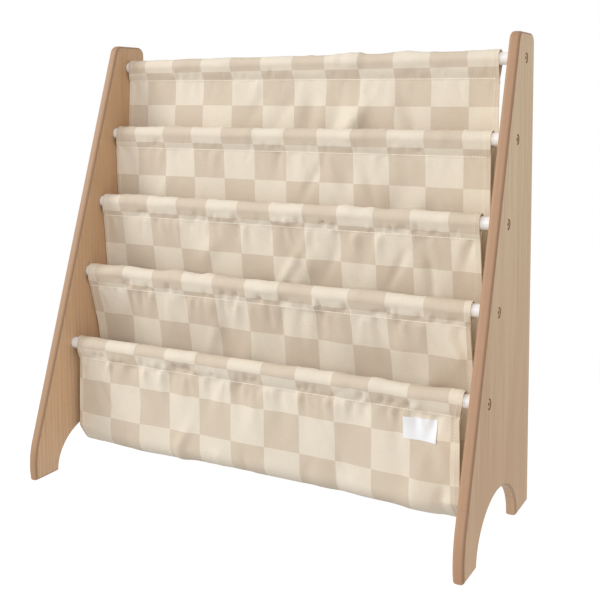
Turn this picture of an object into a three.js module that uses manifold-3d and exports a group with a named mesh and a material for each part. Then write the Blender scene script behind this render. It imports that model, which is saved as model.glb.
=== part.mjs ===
// Sling bookshelf: two leaning wooden side panels joined by five bolted rods,
// with four cloth pockets slung from rod to rod, each one lower and further forward.
// Millimetres. X runs along the rods, +Y is the back of the rack and +Z is up.
// The origin lies on the floor, in the middle of the rack's footprint.

import * as THREE from 'three';
import Module from 'manifold-3d';
import { mergeVertices } from 'three/addons/utils/BufferGeometryUtils.js';

const wasm = await Module();
wasm.setup();

// Whole rack
const rackWidth = 620;
const rackHeight = 598;

// Clearances: between pieces that seat on each other, and past a face that a cut goes through
const seatGap = 0.3;
const cutOverrun = 2;

// Side panels
const panelThickness = 14;
const panelBaseDepth = 265;
const panelTopDepth = 63;
const topCornerRadius = 12;
const footCornerRadius = 5;
const toeCurveHeight = 54;
const toeSetback = 14.3;
const edgeRounding = 4.5;
const frontFootDepth = 58;
const backFootDepth = 53;
const archHeight = 60;
const archSteps = 20;
const toeSteps = 5;
const cornerSteps = 4;
const edgeSteps = 2;

// Rods: tubes whose ends seat in shallow sockets in the panels
const rodCount = 5;
const rodDiameter = 16;
const rodWall = 1.5;
const rodInset = 35;
const lowestRodHeight = 174.5;
const topRodDrop = 31.5;
const rodSocketDepth = 3;
const roundSteps = 16;

// Threaded insert in each rod end
const insertLength = 22;
const insertCollar = 1.2;

// Countersunk socket bolts through the panels
const boltDiameter = 6;
const boltLength = 30;
const boltHeadDiameter = 12;
const boltHeadRim = 0.8;
const boltHeadSink = 0.6;
const boltTipChamfer = 0.8;
const hexKeyWidth = 4;
const hexKeyDepth = 3;

// Sling cloth
const clothThickness = 1.2;
const clothLeftGap = 5;
const clothRightGap = 16.3;
const sleeveTail = 12.5;
const sleeveTailWidth = 3.4;
const lowestFoldStart = 53;
const layerGap = 0.5;
const rippleHeight = 2;
const rippleLength = 230;
const foldEndLift = 1.5;
const clothColumns = 16;
const backRows = 7;
const frontRows = 5;
const foldRows = 6;
const sleeveColumns = 4;

// Where each tier's cloth hangs behind its rod, at the next rod's height and at the pocket's
// fold, as shares of the rise from rod to rod; and where its ripples start, as a share of one.
const midLeanShares = [-0.04, 0.02, 0.1, 0.16, 0];
const lowLeanShares = [0.12, 0.23, 0.27, 0.16, 0];
const rippleStartShares = [0.1, 0.45, 0.8, 0.3, 0.62];

// Blank label on the lowest front sheet
const labelWidth = 42;
const labelHeight = 26;
const labelThickness = 0.6;
const labelInset = 31.6;
const labelDrop = 42;

// Sizes that follow
const halfWidth = rackWidth / 2;
const innerHalfWidth = halfWidth - panelThickness;
const rodRadius = rodDiameter / 2;
const boltRadius = boltDiameter / 2;
const boltHeadRadius = boltHeadDiameter / 2;
const rodRise = (rackHeight - topRodDrop - lowestRodHeight) / (rodCount - 1);

// The panel's depths run to the line of its front edge, which reaches the floor at Y = 0 here. From its
// curve's height the toe bends back from that line, on an arc that meets the floor at its setback.
const frontSlope = (panelBaseDepth - panelTopDepth) / rackHeight;
const frontEdgeStretch = Math.hypot(1, frontSlope);
const frontLean = Math.atan(frontSlope);
const toeChord = Math.hypot(toeSetback - frontSlope * toeCurveHeight, toeCurveHeight);
const toeRadius = toeChord ** 2 * frontEdgeStretch / (2 * toeSetback);
const toeArcY = frontSlope * toeCurveHeight + toeRadius * Math.cos(frontLean);
const toeArcZ = toeCurveHeight - toeRadius * Math.sin(frontLean);

// The curved toe stops short of the front edge's line, and the footprint is centred on Y = 0.
const toeTrim = toeArcY - toeRadius;
const backEdge = (panelBaseDepth - toeTrim) / 2;
const frontEdge = backEdge - panelBaseDepth;

const pocketDrop = lowestRodHeight - lowestFoldStart;
const seamDrop = rodRadius + sleeveTail;
const clothLeft = clothLeftGap - innerHalfWidth;
const clothRight = innerHalfWidth - clothRightGap;
const clothMiddle = (clothLeft + clothRight) / 2;
const clothHalfWidth = (clothRight - clothLeft) / 2;
const sheetTop = seamDrop + seatGap;
const layerStep = clothThickness + layerGap;

// Rods are numbered from the top, as the tiers of cloth that hang from them are.
const rods = Array.from({ length: rodCount }, (_, tier) => {
  const z = lowestRodHeight + rodRise * (rodCount - 1 - tier);
  const y = frontEdge + frontSlope * z + rodInset * frontEdgeStretch;
  return { y, z };
});

// Finishes

const birch = new THREE.MeshStandardMaterial({ color: '#c9a384', roughness: 0.62, metalness: 0 });
const whiteCoat = new THREE.MeshStandardMaterial({ color: '#f1f0ec', roughness: 0.35, metalness: 0 });
const bronzedSteel = new THREE.MeshStandardMaterial({ color: '#8a6b4c', roughness: 0.4, metalness: 0.8 });
const zincSteel = new THREE.MeshStandardMaterial({ color: '#b9bcc0', roughness: 0.4, metalness: 0.9 });
const canvas = new THREE.MeshStandardMaterial({ color: '#ddcfbb', roughness: 0.9, metalness: 0 });
const satinTape = new THREE.MeshStandardMaterial({ color: '#f6f4f0', roughness: 0.6, metalness: 0 });

// Solids and cuts

// A closed geometry as a solid, with shared corners merged and triangles of no area dropped.
function toSolid(geometry) {
  const bare = geometry.clone();
  bare.deleteAttribute('normal');
  bare.deleteAttribute('uv');
  const merged = mergeVertices(bare);
  const corners = merged.index.array;
  const kept = [];
  for (let i = 0; i < corners.length; i += 3) {
    const [a, b, c] = corners.slice(i, i + 3);
    if (a !== b && b !== c && c !== a) kept.push(a, b, c);
  }
  const vertProperties = merged.attributes.position.array;
  return new wasm.Manifold(new wasm.Mesh({ numProp: 3, vertProperties, triVerts: new Uint32Array(kept) }));
}

function toGeometry(solid) {
  const { vertProperties, triVerts } = solid.getMesh();
  const geometry = new THREE.BufferGeometry();
  geometry.setAttribute('position', new THREE.BufferAttribute(vertProperties, 3));
  geometry.setIndex(new THREE.BufferAttribute(triVerts, 1));
  geometry.computeVertexNormals();
  return geometry;
}

// An outline drawn in Y and Z, extruded along X from X = 0.
function extrudeAlongX(shape, settings) {
  const yAxis = new THREE.Vector3(0, 1, 0);
  const zAxis = new THREE.Vector3(0, 0, 1);
  const xAxis = new THREE.Vector3(1, 0, 0);
  const turn = new THREE.Matrix4().makeBasis(yAxis, zAxis, xAxis);
  return new THREE.ExtrudeGeometry(shape, { bevelEnabled: false, ...settings }).applyMatrix4(turn);
}

// A round solid about the X axis, from points [radius, x] in order of rising x.
function turnAboutX(profile) {
  const points = profile.map(([radius, x]) => new THREE.Vector2(radius, x));
  const xAxis = new THREE.Vector3(1, 0, 0);
  const yAxis = new THREE.Vector3(0, 1, 0);
  const zAxis = new THREE.Vector3(0, 0, 1);
  const turn = new THREE.Matrix4().makeBasis(zAxis, xAxis, yAxis);
  return new THREE.LatheGeometry(points, roundSteps).applyMatrix4(turn);
}

function named(name, geometry, material) {
  const mesh = new THREE.Mesh(geometry, material);
  mesh.name = name;
  return mesh;
}

// Side panels

// Points of an arc of an ellipse, both ends included.
function arcPoints(y, z, radiusY, radiusZ, from, to, steps) {
  return Array.from({ length: steps + 1 }, (_, i) => {
    const angle = THREE.MathUtils.lerp(from, to, i / steps);
    return new THREE.Vector2(y + radiusY * Math.cos(angle), z + radiusZ * Math.sin(angle));
  });
}

// Points that round the corner between two straight sides, in the order of the outline.
function roundedCorner(before, corner, after, radius) {
  const toBefore = before.clone().sub(corner).normalize();
  const toAfter = after.clone().sub(corner).normalize();
  const halfAngle = Math.acos(toBefore.dot(toAfter)) / 2;
  const middle = toBefore.clone().add(toAfter).setLength(radius / Math.sin(halfAngle)).add(corner);
  const reach = radius / Math.tan(halfAngle);
  const start = toBefore.setLength(reach).add(corner).sub(middle).angle();
  const end = toAfter.setLength(reach).add(corner).sub(middle).angle();
  const turned = end < start ? end + 2 * Math.PI : end;
  return arcPoints(middle.x, middle.y, radius, radius, start, turned, cornerSteps);
}

function panelShape() {
  const frontFoot = new THREE.Vector2(frontEdge, 0);
  const toe = new THREE.Vector2(frontEdge + toeSetback, 0);
  const toeEnd = Math.PI + Math.asin(toeArcZ / toeRadius);
  const toeCurve = arcPoints(
    frontEdge + toeArcY, toeArcZ, toeRadius, toeRadius, Math.PI - frontLean, toeEnd, toeSteps,
  ).slice(0, -1);
  const backFoot = new THREE.Vector2(backEdge, 0);
  const topBack = new THREE.Vector2(backEdge, rackHeight);
  const topFront = new THREE.Vector2(backEdge - panelTopDepth, rackHeight);
  const archFront = frontEdge + frontFootDepth;
  const archBack = backEdge - backFootDepth;
  const archMiddle = (archFront + archBack) / 2;
  const archHalfWidth = (archBack - archFront) / 2;
  return new THREE.Shape([
    ...toeCurve,
    ...roundedCorner(toeCurve.at(-1), toe, backFoot, footCornerRadius),
    ...arcPoints(archMiddle, 0, archHalfWidth, archHeight, Math.PI, 0, archSteps),
    ...roundedCorner(frontFoot, backFoot, topBack, footCornerRadius),
    ...roundedCorner(backFoot, topBack, topFront, topCornerRadius),
    ...roundedCorner(topBack, topFront, frontFoot, topCornerRadius),
  ]);
}

// The bolt's countersink and clearance hole and the rod's socket, as one cutter.
// The panel's outer face is at X = 0 and its inner face at minus the thickness.
function boltHoleCutter() {
  const headRadius = boltHeadRadius + seatGap;
  const holeRadius = boltRadius + seatGap;
  const socketRadius = rodRadius + seatGap;
  const socketFloor = rodSocketDepth - panelThickness;
  const rimDepth = -boltHeadSink - boltHeadRim - seatGap;
  const coneEnd = rimDepth - (headRadius - holeRadius);
  return toSolid(turnAboutX([
    [0, -panelThickness - cutOverrun],
    [socketRadius, -panelThickness - cutOverrun],
    [socketRadius, socketFloor],
    [holeRadius, socketFloor],
    [holeRadius, coneEnd],
    [headRadius, rimDepth],
    [headRadius, cutOverrun],
    [0, cutOverrun],
  ]));
}

// A panel's slab stands from X = 0 to its thickness; side is 1 where +X is outside and -1 where it is inside.
function sidePanel(side) {
  const slab = extrudeAlongX(panelShape(), {
    depth: panelThickness - 2 * edgeRounding,
    bevelEnabled: true,
    bevelThickness: edgeRounding,
    bevelSize: edgeRounding,
    bevelOffset: -edgeRounding,
    bevelSegments: edgeSteps,
  }).translate(edgeRounding, 0, 0);
  const outerFace = side > 0 ? panelThickness : 0;
  const cutter = boltHoleCutter();
  let panel = toSolid(slab);
  for (const rod of rods) {
    const placed = side > 0 ? cutter : cutter.rotate([0, 0, 180]);
    panel = panel.subtract(placed.translate([outerFace, rod.y, rod.z]));
  }
  return toGeometry(panel);
}

// Rods, inserts and bolts

const collarOuterFace = innerHalfWidth + rodSocketDepth - seatGap;
const rodHalfLength = collarOuterFace - insertCollar - seatGap;

function rodTube() {
  const boreRadius = rodRadius - rodWall;
  return toGeometry(toSolid(turnAboutX([
    [boreRadius, -rodHalfLength],
    [rodRadius, -rodHalfLength],
    [rodRadius, rodHalfLength],
    [boreRadius, rodHalfLength],
    [boreRadius, -rodHalfLength],
  ])));
}

// The insert's collar faces +X at X = 0 and its body reaches back into the rod.
function rodInsert() {
  const boreRadius = boltRadius + seatGap;
  const bodyRadius = rodRadius - rodWall - seatGap;
  return toGeometry(toSolid(turnAboutX([
    [boreRadius, -insertLength],
    [bodyRadius, -insertLength],
    [bodyRadius, -insertCollar],
    [rodRadius, -insertCollar],
    [rodRadius, 0],
    [boreRadius, 0],
    [boreRadius, -insertLength],
  ])));
}

// The bolt's flat head faces +X at X = 0, with its hexagonal key socket sunk into it.
function socketBolt() {
  const coneEnd = -boltHeadRim - (boltHeadRadius - boltRadius);
  const body = toSolid(turnAboutX([
    [0, -boltLength],
    [boltRadius - boltTipChamfer, -boltLength],
    [boltRadius, boltTipChamfer - boltLength],
    [boltRadius, coneEnd],
    [boltHeadRadius, -boltHeadRim],
    [boltHeadRadius, 0],
    [0, 0],
  ]));
  const hexRadius = hexKeyWidth / Math.sqrt(3);
  const hexLength = hexKeyDepth + cutOverrun;
  const key = new THREE.CylinderGeometry(hexRadius, hexRadius, hexLength, 6);
  key.rotateZ(Math.PI / 2);
  key.translate(cutOverrun - hexLength / 2, 0, 0);
  return toGeometry(body.subtract(toSolid(key)));
}

// Turns a fitting that faces +X to the left side where side is -1.
function placeFitting(mesh, side, x, rod) {
  mesh.position.set(side * x, rod.y, rod.z);
  mesh.rotation.z = side > 0 ? 0 : Math.PI;
  return mesh;
}

// Sling cloth

// A cubic between two values with the slope at each end given over the whole span.
function cubicBetween(start, end, startSlope, endSlope, share) {
  const s2 = share * share;
  const s3 = s2 * share;
  const blend = 3 * s2 - 2 * s3;
  return start + (end - start) * blend + startSlope * (s3 - 2 * s2 + share) + endSlope * (s3 - s2);
}

// How far a tier's cloth hangs behind its rod's axis, at a drop below that axis.
function leanAt(tier, drop) {
  const mid = midLeanShares[tier] * rodRise;
  const low = lowLeanShares[tier] * rodRise;
  const upperSpan = rodRise - seamDrop;
  const midSlope = low / (upperSpan + pocketDrop);
  if (drop < rodRise) {
    const share = (drop - seamDrop) / upperSpan;
    return cubicBetween(0, mid, mid, midSlope * upperSpan, share);
  }
  return cubicBetween(mid, low, midSlope * pocketDrop, 0, (drop - rodRise) / pocketDrop);
}

// Shallow ripples run down the cloth and grow below the seam.
function rippleAt(tier, x, drop) {
  const turns = (x - clothLeft) / rippleLength + rippleStartShares[tier];
  return rippleHeight * THREE.MathUtils.smoothstep(drop, seamDrop, rodRise) * Math.sin(2 * Math.PI * turns);
}

// The pocket's fold rises a little towards its open ends.
function foldLiftAt(x) {
  const across = (x - clothMiddle) / clothHalfWidth;
  return foldEndLift * across ** 4;
}

// A closed sheet from a function that gives, for a share of the way down and an X, the
// middle of the sheet and the direction out of its back face.
function closedSheet({ left, right, thickness, rows, columns }, pointAt) {
  const positions = [];
  for (const face of [1, -1]) {
    for (let row = 0; row <= rows; row += 1) {
      for (let column = 0; column <= columns; column += 1) {
        const x = THREE.MathUtils.lerp(left, right, column / columns);
        const { y, z, normalY, normalZ } = pointAt(row / rows, x);
        const out = face * thickness / 2;
        positions.push(x, y + normalY * out, z + normalZ * out);
      }
    }
  }
  const rowLength = columns + 1;
  const back = (row, column) => row * rowLength + column;
  const front = (row, column) => (rows + 1) * rowLength + back(row, column);
  const faces = [];
  const quad = (a, b, c, d) => faces.push(a, b, c, a, c, d);
  for (let row = 0; row < rows; row += 1) {
    for (let column = 0; column < columns; column += 1) {
      const [nextRow, nextColumn] = [row + 1, column + 1];
      quad(back(row, column), back(row, nextColumn), back(nextRow, nextColumn), back(nextRow, column));
      quad(front(row, column), front(nextRow, column), front(nextRow, nextColumn), front(row, nextColumn));
    }
    quad(front(row, 0), back(row, 0), back(row + 1, 0), front(row + 1, 0));
    quad(back(row, columns), front(row, columns), front(row + 1, columns), back(row + 1, columns));
  }
  for (let column = 0; column < columns; column += 1) {
    quad(back(0, column), front(0, column), front(0, column + 1), back(0, column + 1));
    quad(front(rows, column), back(rows, column), back(rows, column + 1), front(rows, column + 1));
  }
  const geometry = new THREE.BufferGeometry();
  geometry.setAttribute('position', new THREE.Float32BufferAttribute(positions, 3));
  geometry.setIndex(faces);
  return toGeometry(toSolid(geometry));
}

// The sheet's place on a tier's hanging cloth, at a drop below the rod and set back from it.
function hangingPoint(tier, drop, x, setBack) {
  const rod = rods[tier];
  return { y: rod.y + leanAt(tier, drop) + rippleAt(tier, x, drop) + setBack, z: rod.z - drop };
}

// A sheet that hangs from a tier's rod, from the sleeve's tail down to a drop below the rod.
function hangingSheet(tier, bottomDrop, setBack, rows) {
  const size = { left: clothLeft, right: clothRight, thickness: clothThickness, rows, columns: clothColumns };
  return closedSheet(size, (share, x) => {
    const { y, z } = hangingPoint(tier, THREE.MathUtils.lerp(sheetTop, bottomDrop, share), x, setBack);
    return { y, z: z + foldLiftAt(x) * share ** 2, normalY: 1, normalZ: 0 };
  });
}

// Two sheets share the seam under each rod but the first and the last: the tier's own cloth in
// front, and the front sheet of the pocket above behind it.
function ownSetBack(tier) {
  return tier > 0 && tier < rodCount - 1 ? -layerStep / 2 : 0;
}

// The back sheet of a pocket hangs from the pocket's own rod, past the rod in front.
function pocketBack(pocket) {
  return hangingSheet(pocket, rodRise + pocketDrop - seatGap, ownSetBack(pocket), backRows);
}

// The front sheet hangs from the next rod.
function pocketFront(pocket) {
  return hangingSheet(pocket + 1, pocketDrop - seatGap, -ownSetBack(pocket + 1), frontRows);
}

// The folded bottom turns from the back sheet round to the front sheet in half a circle.
function pocketFold(pocket) {
  const size = { left: clothLeft, right: clothRight, thickness: clothThickness, rows: foldRows, columns: clothColumns };
  return closedSheet(size, (share, x) => {
    const back = hangingPoint(pocket, rodRise + pocketDrop, x, ownSetBack(pocket));
    const front = hangingPoint(pocket + 1, pocketDrop, x, -ownSetBack(pocket + 1));
    const radius = (back.y - front.y) / 2;
    const angle = -Math.PI * share;
    const normalY = Math.cos(angle);
    const normalZ = Math.sin(angle);
    const z = back.z + foldLiftAt(x) + radius * normalZ;
    return { y: front.y + radius + radius * normalY, z, normalY, normalZ };
  });
}

// Points round the rod at one distance from its axis, then down to the sleeve's tail.
function sleeveOutline(radius, tailDrop, tailHalfWidth) {
  const middle = new THREE.Vector2(tailHalfWidth, -tailDrop);
  const lean = Math.acos(radius / middle.length());
  const tangent = middle.angle() + lean - 2 * Math.PI;
  const round = arcPoints(0, 0, radius, radius, tangent, Math.PI - tangent, roundSteps / 2);
  return { round, right: middle, left: new THREE.Vector2(-tailHalfWidth, -tailDrop) };
}

// A teardrop of cloth round a rod, closed at its tail, where it is sewn to the sheets below.
function rodSleeve(tier) {
  const tailHalfWidth = sleeveTailWidth / 2;
  const outside = sleeveOutline(rodRadius + seatGap + clothThickness, seamDrop, tailHalfWidth);
  const inside = sleeveOutline(rodRadius + seatGap, seamDrop - sleeveTailWidth, tailHalfWidth - clothThickness);
  const shape = new THREE.Shape([outside.right, ...outside.round, outside.left]);
  shape.holes.push(new THREE.Path([inside.right, ...inside.round, inside.left]));
  const geometry = extrudeAlongX(shape, { depth: clothRight - clothLeft, steps: sleeveColumns });
  geometry.translate(clothLeft, rods[tier].y, rods[tier].z);
  return toGeometry(toSolid(geometry));
}

// Label

// A blank woven tape that follows the lowest front sheet.
function label() {
  const tier = rodCount - 1;
  const right = clothRight - labelInset;
  const size = { left: right - labelWidth, right, thickness: labelThickness, rows: 2, columns: 4 };
  const setBack = -(clothThickness + labelThickness) / 2 - layerGap;
  return closedSheet(size, (share, x) => {
    const drop = labelDrop + (share - 0.5) * labelHeight;
    return { ...hangingPoint(tier, drop, x, setBack), normalY: 1, normalZ: 0 };
  });
}

// Assembly

const rack = new THREE.Group();

for (const [place, side] of [['left', -1], ['right', 1]]) {
  const panel = named(`side_panel_${place}`, sidePanel(side), birch);
  panel.position.x = side > 0 ? innerHalfWidth : -halfWidth;
  rack.add(panel);
  rods.forEach((rod, tier) => {
    const insert = named(`rod_insert_${place}_${tier + 1}`, rodInsert(), zincSteel);
    rack.add(placeFitting(insert, side, collarOuterFace, rod));
    const bolt = named(`socket_bolt_${place}_${tier + 1}`, socketBolt(), bronzedSteel);
    rack.add(placeFitting(bolt, side, halfWidth - boltHeadSink, rod));
  });
}

rods.forEach((rod, tier) => {
  const tube = named(`rod_${tier + 1}`, rodTube(), whiteCoat);
  tube.position.set(0, rod.y, rod.z);
  rack.add(tube);
  rack.add(named(`rod_sleeve_${tier + 1}`, rodSleeve(tier), canvas));
});

for (let pocket = 0; pocket < rodCount - 1; pocket += 1) {
  rack.add(named(`pocket_back_${pocket + 1}`, pocketBack(pocket), canvas));
  rack.add(named(`pocket_fold_${pocket + 1}`, pocketFold(pocket), canvas));
  rack.add(named(`pocket_front_${pocket + 1}`, pocketFront(pocket), canvas));
}

rack.add(named('blank_label', label(), satinTape));

export default rack;
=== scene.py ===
"""Sling bookshelf, dressed for a studio picture.

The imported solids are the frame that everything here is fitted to. All lengths are in
metres. X runs along the rods, +Y is the back of the rack and +Z is up, and the origin
lies on the floor in the middle of the rack's footprint.
"""

import logging
import math
from collections.abc import Callable, Sequence
from dataclasses import dataclass, field
from enum import Enum

import bmesh
import bpy
import numpy as np
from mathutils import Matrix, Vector


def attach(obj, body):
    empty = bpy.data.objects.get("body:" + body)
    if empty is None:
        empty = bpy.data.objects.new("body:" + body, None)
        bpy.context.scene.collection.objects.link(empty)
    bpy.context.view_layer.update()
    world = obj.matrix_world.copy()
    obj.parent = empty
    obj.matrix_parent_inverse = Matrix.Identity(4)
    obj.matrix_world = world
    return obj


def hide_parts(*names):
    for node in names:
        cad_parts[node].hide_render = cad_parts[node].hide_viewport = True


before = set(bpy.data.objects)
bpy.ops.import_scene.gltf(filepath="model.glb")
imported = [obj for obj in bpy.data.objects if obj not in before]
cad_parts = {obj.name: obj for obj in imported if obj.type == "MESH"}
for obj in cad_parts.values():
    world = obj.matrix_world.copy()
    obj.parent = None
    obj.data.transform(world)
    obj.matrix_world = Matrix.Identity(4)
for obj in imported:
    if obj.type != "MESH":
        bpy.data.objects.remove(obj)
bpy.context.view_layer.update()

LOG = logging.getLogger("sling_bookshelf")
MM = 0.001
WELD_DISTANCE = MM / 1000
WHITE = (1, 1, 1, 1)


# Sizes that the sub-assemblies share


class Side(Enum):
    """The side of the rack that a piece belongs to."""

    LEFT = -1
    RIGHT = 1


@dataclass(frozen=True)
class RackSizes:
    """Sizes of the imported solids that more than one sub-assembly needs."""

    width: float = 620 * MM
    height: float = 598 * MM
    panel_thickness: float = 14 * MM
    panel_base_depth: float = 265 * MM
    panel_top_depth: float = 63 * MM
    toe_curve_height: float = 54 * MM
    toe_setback: float = 14.3 * MM
    rod_count: int = 5
    rod_radius: float = 8 * MM
    rod_inset: float = 35 * MM
    rod_socket_depth: float = 3 * MM
    lowest_rod_height: float = 174.5 * MM
    top_rod_drop: float = 31.5 * MM
    seat_gap: float = 0.3 * MM

    @property
    def inner_half_width(self) -> float:
        """Distance from the middle of the rack to a panel's inner face."""
        return self.width / 2 - self.panel_thickness

    @property
    def front_slope(self) -> float:
        """How far the panel's front edge leans back for each metre that it rises."""
        return (self.panel_base_depth - self.panel_top_depth) / self.height

    @property
    def front_lean(self) -> float:
        """The front edge's angle from upright."""
        return math.atan(self.front_slope)

    @property
    def toe_radius(self) -> float:
        """Finds the arc on which the toe bends back from the front edge to the floor.

        Returns:
            The arc's radius.
        """
        chord_y = self.toe_setback - self.front_slope * self.toe_curve_height
        chord = math.hypot(chord_y, self.toe_curve_height)
        return chord**2 * math.hypot(1, self.front_slope) / (2 * self.toe_setback)

    @property
    def toe_centre(self) -> tuple[float, float]:
        """The toe arc's centre, as its Y behind the front edge's line at the floor and its Z."""
        y = self.front_slope * self.toe_curve_height + self.toe_radius * math.cos(self.front_lean)
        return y, self.toe_curve_height - self.toe_radius * math.sin(self.front_lean)

    @property
    def back_edge(self) -> float:
        """Y of the panels' back edge."""
        toe_trim = self.toe_centre[0] - self.toe_radius
        return (self.panel_base_depth - toe_trim) / 2

    @property
    def front_edge(self) -> float:
        """Y of the line of the panels' front edge where it meets the floor."""
        return self.back_edge - self.panel_base_depth

    @property
    def rod_rise(self) -> float:
        """Height from one rod to the next."""
        return (self.height - self.top_rod_drop - self.lowest_rod_height) / (self.rod_count - 1)

    def rod_axis(self, tier: int) -> tuple[float, float]:
        """Finds a rod's axis.

        Args:
            tier: The rod's number, from 0 at the top.

        Returns:
            The axis's Y and Z.
        """
        z = self.lowest_rod_height + self.rod_rise * (self.rod_count - 1 - tier)
        inset = self.rod_inset * math.hypot(1, self.front_slope)
        return self.front_edge + self.front_slope * z + inset, z


# Hand modelling


class Pick(Enum):
    """What an edit-mode selection holds."""

    VERTICES = "VERT"
    EDGES = "EDGE"


def deselect_everything() -> None:
    """Returns to object mode with nothing selected."""
    if bpy.context.mode != "OBJECT":
        bpy.ops.object.mode_set(mode="OBJECT")
    bpy.ops.object.select_all(action="DESELECT")


def take(piece: bpy.types.Object) -> None:
    """Makes one object the only selected and the active one.

    Args:
        piece: The object to work on.
    """
    deselect_everything()
    piece.select_set(True)
    bpy.context.view_layer.objects.active = piece


def fresh_primitive(name: str) -> bpy.types.Object:
    """Names the primitive that was just added and settles its place into its mesh.

    Args:
        name: The new object's name.

    Returns:
        The object.
    """
    piece = bpy.context.active_object
    piece.name = piece.data.name = name
    bpy.ops.object.transform_apply(location=True, rotation=True, scale=True)
    return piece


def select_where(piece: bpy.types.Object, pick: Pick, test: Callable[[Vector], bool]) -> None:
    """Selects, in edit mode, the elements whose every corner passes a test.

    Args:
        piece: The object in edit mode.
        pick: What kind of element to select.
        test: Tells whether a corner's place counts.
    """
    bpy.ops.mesh.select_mode(type=pick.value)
    bpy.ops.mesh.select_all(action="DESELECT")
    shape = bmesh.from_edit_mesh(piece.data)
    for element in shape.verts if pick is Pick.VERTICES else shape.edges:
        corners = [element] if pick is Pick.VERTICES else element.verts
        if all(test(corner.co) for corner in corners):
            element.select_set(True)
    shape.select_flush_mode()
    bmesh.update_edit_mesh(piece.data)


def round_where(
    piece: bpy.types.Object, offset: float, segments: int, test: Callable[[Vector], bool]
) -> None:
    """Rounds the edges whose both ends pass a test.

    Args:
        piece: The object to round.
        offset: How far from the edge the rounding starts.
        segments: How many flats the rounding has.
        test: Tells whether an end's place counts.
    """
    take(piece)
    bpy.ops.object.mode_set(mode="EDIT")
    select_where(piece, Pick.EDGES, test)
    bpy.ops.mesh.bevel(
        offset_type="OFFSET", offset=offset, segments=segments, profile=0.5, affect="EDGES"
    )
    bpy.ops.object.mode_set(mode="OBJECT")


def apply_modifier(piece: bpy.types.Object, kind: str, **settings: object) -> None:
    """Adds a modifier with its settings and applies it.

    Args:
        piece: The object to change.
        kind: The modifier's type.
        settings: The modifier's properties.
    """
    take(piece)
    modifier = piece.modifiers.new(kind.title(), kind)
    for name, value in settings.items():
        setattr(modifier, name, value)
    bpy.ops.object.modifier_apply(modifier=modifier.name)


def cut_away(piece: bpy.types.Object, cutter: bpy.types.Object) -> None:
    """Cuts one solid out of another and throws the cutter away.

    Args:
        piece: The solid to cut.
        cutter: The solid to cut out of it.
    """
    apply_modifier(piece, "BOOLEAN", operation="DIFFERENCE", object=cutter, solver="EXACT")
    bpy.data.objects.remove(cutter, do_unlink=True)


def turned_about_x(
    name: str, profile: Sequence[tuple[float, float]], steps: int, hollow: bool
) -> bpy.types.Object:
    """Draws out a ring along X, step by step, into a turned piece.

    Args:
        name: The new object's name.
        profile: The X and the radius of each step, in order round the section.
        steps: How many corners the ring has.
        hollow: Whether the last ring meets the first one again, as on a tube.

    Returns:
        The turned object, on the X axis.
    """
    deselect_everything()
    x, radius = profile[0]
    bpy.ops.mesh.primitive_circle_add(
        vertices=steps,
        radius=radius,
        fill_type="NOTHING" if hollow else "NGON",
        location=(x, 0, 0),
        rotation=(0, math.pi / 2, 0),
    )
    piece = fresh_primitive(name)
    bpy.ops.object.mode_set(mode="EDIT")
    bpy.ops.mesh.select_all(action="SELECT")
    for next_x, next_radius in profile[1:]:
        bpy.ops.mesh.extrude_region_move(TRANSFORM_OT_translate={"value": (next_x - x, 0, 0)})
        growth = next_radius / radius
        bpy.ops.transform.resize(value=(1, growth, growth), center_override=(next_x, 0, 0))
        x, radius = next_x, next_radius
    bpy.ops.mesh.select_all(action="SELECT")
    bpy.ops.mesh.remove_doubles(threshold=WELD_DISTANCE)
    bpy.ops.mesh.normals_make_consistent(inside=False)
    bpy.ops.object.mode_set(mode="OBJECT")
    return piece


def copy_to(
    piece: bpy.types.Object, name: str, place: Vector, half_turn: bool
) -> bpy.types.Object:
    """Copies a piece with its own mesh and settles the copy at a new place.

    Args:
        piece: The piece modelled at the origin.
        name: The copy's name.
        place: Where the copy goes.
        half_turn: Whether the copy faces the other way along X.

    Returns:
        The copy.
    """
    twin = piece.copy()
    twin.data = piece.data.copy()
    twin.name = twin.data.name = name
    bpy.context.collection.objects.link(twin)
    twin.location = place
    twin.rotation_euler = (0, 0, math.pi if half_turn else 0)
    take(twin)
    bpy.ops.object.transform_apply(location=True, rotation=True, scale=True)
    return twin


def smooth(piece: bpy.types.Object, degrees: float) -> None:
    """Shades a piece smooth except across its sharp edges.

    Args:
        piece: The piece to shade.
        degrees: The angle past which an edge stays sharp.
    """
    take(piece)
    bpy.ops.object.shade_smooth_by_angle(angle=math.radians(degrees))


def in_scene(name: str, data: bpy.types.ID) -> bpy.types.Object:
    """Puts a mesh, lamp or camera in the scene.

    Args:
        name: The new object's name.
        data: What the object shows.

    Returns:
        The object.
    """
    holder = bpy.data.objects.new(name, data)
    bpy.context.collection.objects.link(holder)
    return holder


def piece_from_points(name: str, points: np.ndarray, faces: Sequence) -> bpy.types.Object:
    """Makes a piece from its points and faces.

    Args:
        name: The new object's name.
        points: The places of its corners.
        faces: The corners' numbers for each face.

    Returns:
        The piece.
    """
    mesh = bpy.data.meshes.new(name)
    mesh.from_pydata(points.reshape(-1, 3), [], faces)
    return in_scene(name, mesh)


def grid_quads(rows: int, columns: int) -> np.ndarray:
    """Joins a grid of points into quads.

    Args:
        rows: How many rows of points the grid has.
        columns: How many points each row has.

    Returns:
        The corners' numbers for each quad, along the first row and back along the next.
    """
    index = np.arange(rows * columns).reshape(rows, columns)
    corners = (index[:-1, :-1], index[:-1, 1:], index[1:, 1:], index[1:, :-1])
    return np.stack(corners, axis=-1).reshape(-1, 4)


def finish_piece(
    piece: bpy.types.Object, material: bpy.types.Material, nodes: Sequence[str] = ()
) -> None:
    """Dresses a finished piece and hangs it on the rack's one body.

    Args:
        piece: The finished piece.
        material: Its material.
        nodes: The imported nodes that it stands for.
    """
    piece.data.materials.clear()
    piece.data.materials.append(material)
    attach(piece, "root")
    if nodes:
        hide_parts(*nodes)


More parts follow.
